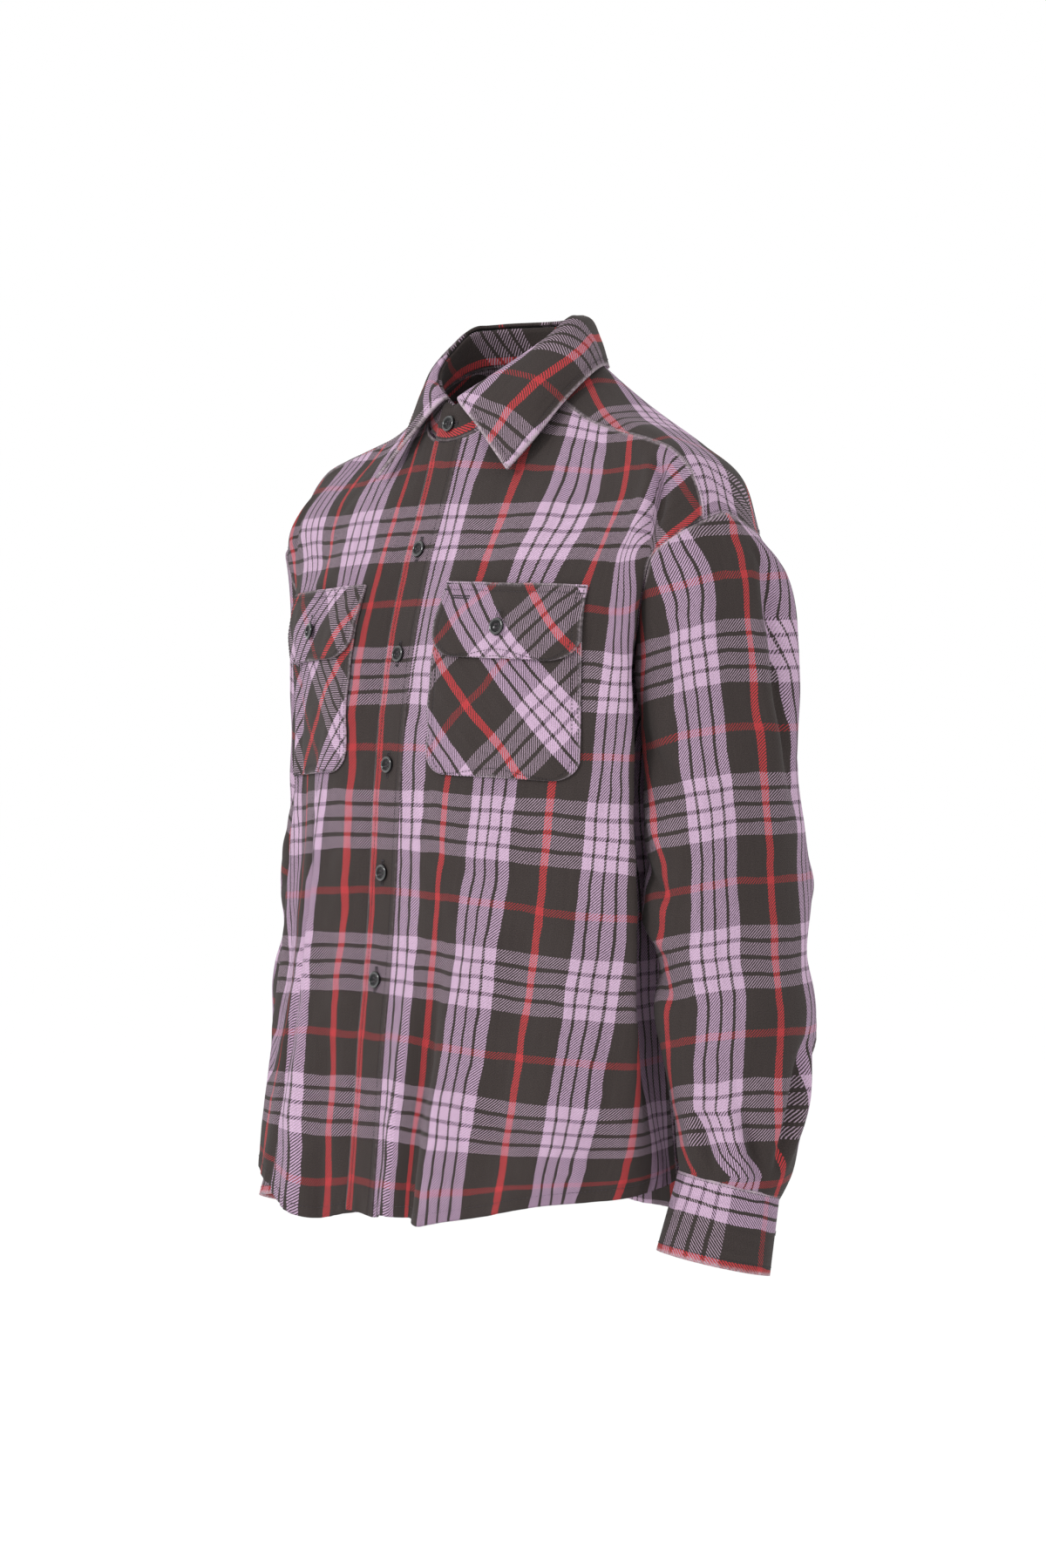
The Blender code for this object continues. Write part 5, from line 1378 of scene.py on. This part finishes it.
def turned_button(seat):
    """A round button at its seat, with its polished rim as the second material."""
    disc = bmesh.new()
    outline = [disc.verts.new((radius, 0, height)) for radius, height in BUTTON_OUTLINE]
    edges = [disc.edges.new(pair) for pair in zip(outline[:-1], outline[1:])]
    bmesh.ops.spin(disc, geom=outline + edges, cent=(0, 0, 0), axis=(0, 0, 1), angle=2 * math.pi,
                   steps=BUTTON_STEPS, use_merge=True)
    bmesh.ops.remove_doubles(disc, verts=disc.verts, dist=0.00001)
    bmesh.ops.recalc_face_normals(disc, faces=disc.faces)
    for face in disc.faces:
        centre = face.calc_center_median()
        face.material_index = int(RIM[0] < centre.xy.length < RIM[1] and centre.z > BUTTON_WAIST)
    bmesh.ops.transform(disc, matrix=seat, verts=disc.verts)
    return disc


def straight_row(sheet, middle, way, reach, out, *stitch, **kind):
    """Stitches along a straight line, as far as its reach to either side of the middle."""
    line = middle + np.linspace(-reach, reach, 9)[:, None] * way
    add_stitches(sheet, line, np.tile(out, (len(line), 1)), *stitch, **kind)


RESIN = resin("black button resin", 0.14, 0.34, 0.0)
POLISHED = resin("black button resin, polished rim", 0.10, 0.5, 1.0)
for name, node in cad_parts.items():
    if not name.startswith("button"):
        continue
    middle, out = button_place(node)
    along = np.cross([0, 0, 1.0], out) if "cuff" in name or "collar" in name else np.array([0, 0, -1.0])
    along = unit(along - out * (along @ out))
    beside = np.cross(out, along)
    ways = Matrix(np.stack([along, beside, out], axis=1).tolist())
    seat = Matrix.Translation(middle.tolist()) @ ways.to_4x4()
    button = from_bmesh(f"{name}_resin", turned_button(seat), RESIN, POLISHED)
    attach(button, "root")
    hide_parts(name)

    sewing = bmesh.new()
    # The four holes: flat discs of dark thread over the well, for the thread in each hole and as painted
    # shade of its depth.
    for side in (-HOLE_APART, HOLE_APART):
        for turn in (-HOLE_APART, HOLE_APART):
            spot = seat @ Matrix.Translation((side, turn, WELL_Z + HOLE_LIFT))
            bmesh.ops.create_circle(sewing, cap_ends=True, segments=14, radius=BUTTON_HOLE, matrix=spot)
        for strand in (-STRAND_APART, 0, STRAND_APART):
            over = np.array(seat @ Vector((side + strand, 0, WELL_Z + STRAND_LIFT)))
            straight_row(sewing, over, beside, STRAND_REACH, out, STRAND_LONG, STRAND_LONG, THREAD)
    ground = middle + out * BUTTONHOLE_LIFT - along * HANG * ("pocket" in name)
    for end in (-1, 1):
        straight_row(sewing, ground + end * BUTTONHOLE_SIDE * beside, along, BUTTONHOLE_HALF, out,
                     BUTTONHOLE_PITCH, *SATIN, across=True)
    for end in (-1, 1):
        straight_row(sewing, ground + end * BUTTONHOLE_HALF * along, beside, END_REACH * BUTTONHOLE_SIDE, out,
                     BUTTONHOLE_PITCH * END_CLOSER, *END_BAR, across=True)
    thread_piece(f"{name}_thread", sewing)

# ---------------------------------------------------------------- floor, light and camera
# A pale floor far below the hanging shirt, an even white studio and one soft key light.

FLOOR_Z, FLOOR_HALF = -1.42, 40.0
WHITE = (1, 1, 1, 1)
paint = new_material("pale floor", Base_Color=WHITE, Roughness=1.0, Specular_IOR_Level=0.0)[0]
plane = bmesh.new()
bmesh.ops.create_grid(plane, x_segments=1, y_segments=1, size=FLOOR_HALF)
bmesh.ops.translate(plane, verts=plane.verts, vec=(0, 0, FLOOR_Z))
from_bmesh("floor", plane, paint)

world = bpy.data.worlds.new("studio")
world.use_nodes = True
fill(world.node_tree, world.node_tree.nodes["Background"], Color=WHITE, Strength=1.0)
bpy.context.scene.world = world
bpy.context.scene.view_settings.view_transform = "Standard"

KEY_PLACE, KEY_AIM, KEY_WIDE, KEY_WATTS = Vector((0.2, -3.2, 1.4)), Vector((0, 0, -0.25)), 1.0, 40
key = bpy.data.objects.new("key", bpy.data.lights.new("key", "AREA"))
key.data.shape = "DISK"
key.data.size, key.data.energy = KEY_WIDE, KEY_WATTS
key.location = KEY_PLACE
key.rotation_euler = (KEY_AIM - KEY_PLACE).to_track_quat("-Z", "Y").to_euler()
bpy.context.scene.collection.objects.link(key)

VIEW_TURN, VIEW_FAR, VIEW_Z, VIEW_LENS = math.radians(51), 3.2, -0.24, 95.57
camera = bpy.data.objects.new("camera", bpy.data.cameras.new("camera"))
camera.location = (VIEW_FAR * math.sin(VIEW_TURN), -VIEW_FAR * math.cos(VIEW_TURN), VIEW_Z)
camera.rotation_euler = (math.pi / 2, 0, VIEW_TURN)
camera.data.sensor_width, camera.data.lens = 36, VIEW_LENS
camera.data.shift_x, camera.data.shift_y = 0.00556, -0.04975
bpy.context.scene.collection.objects.link(camera)
bpy.context.scene.camera = camera
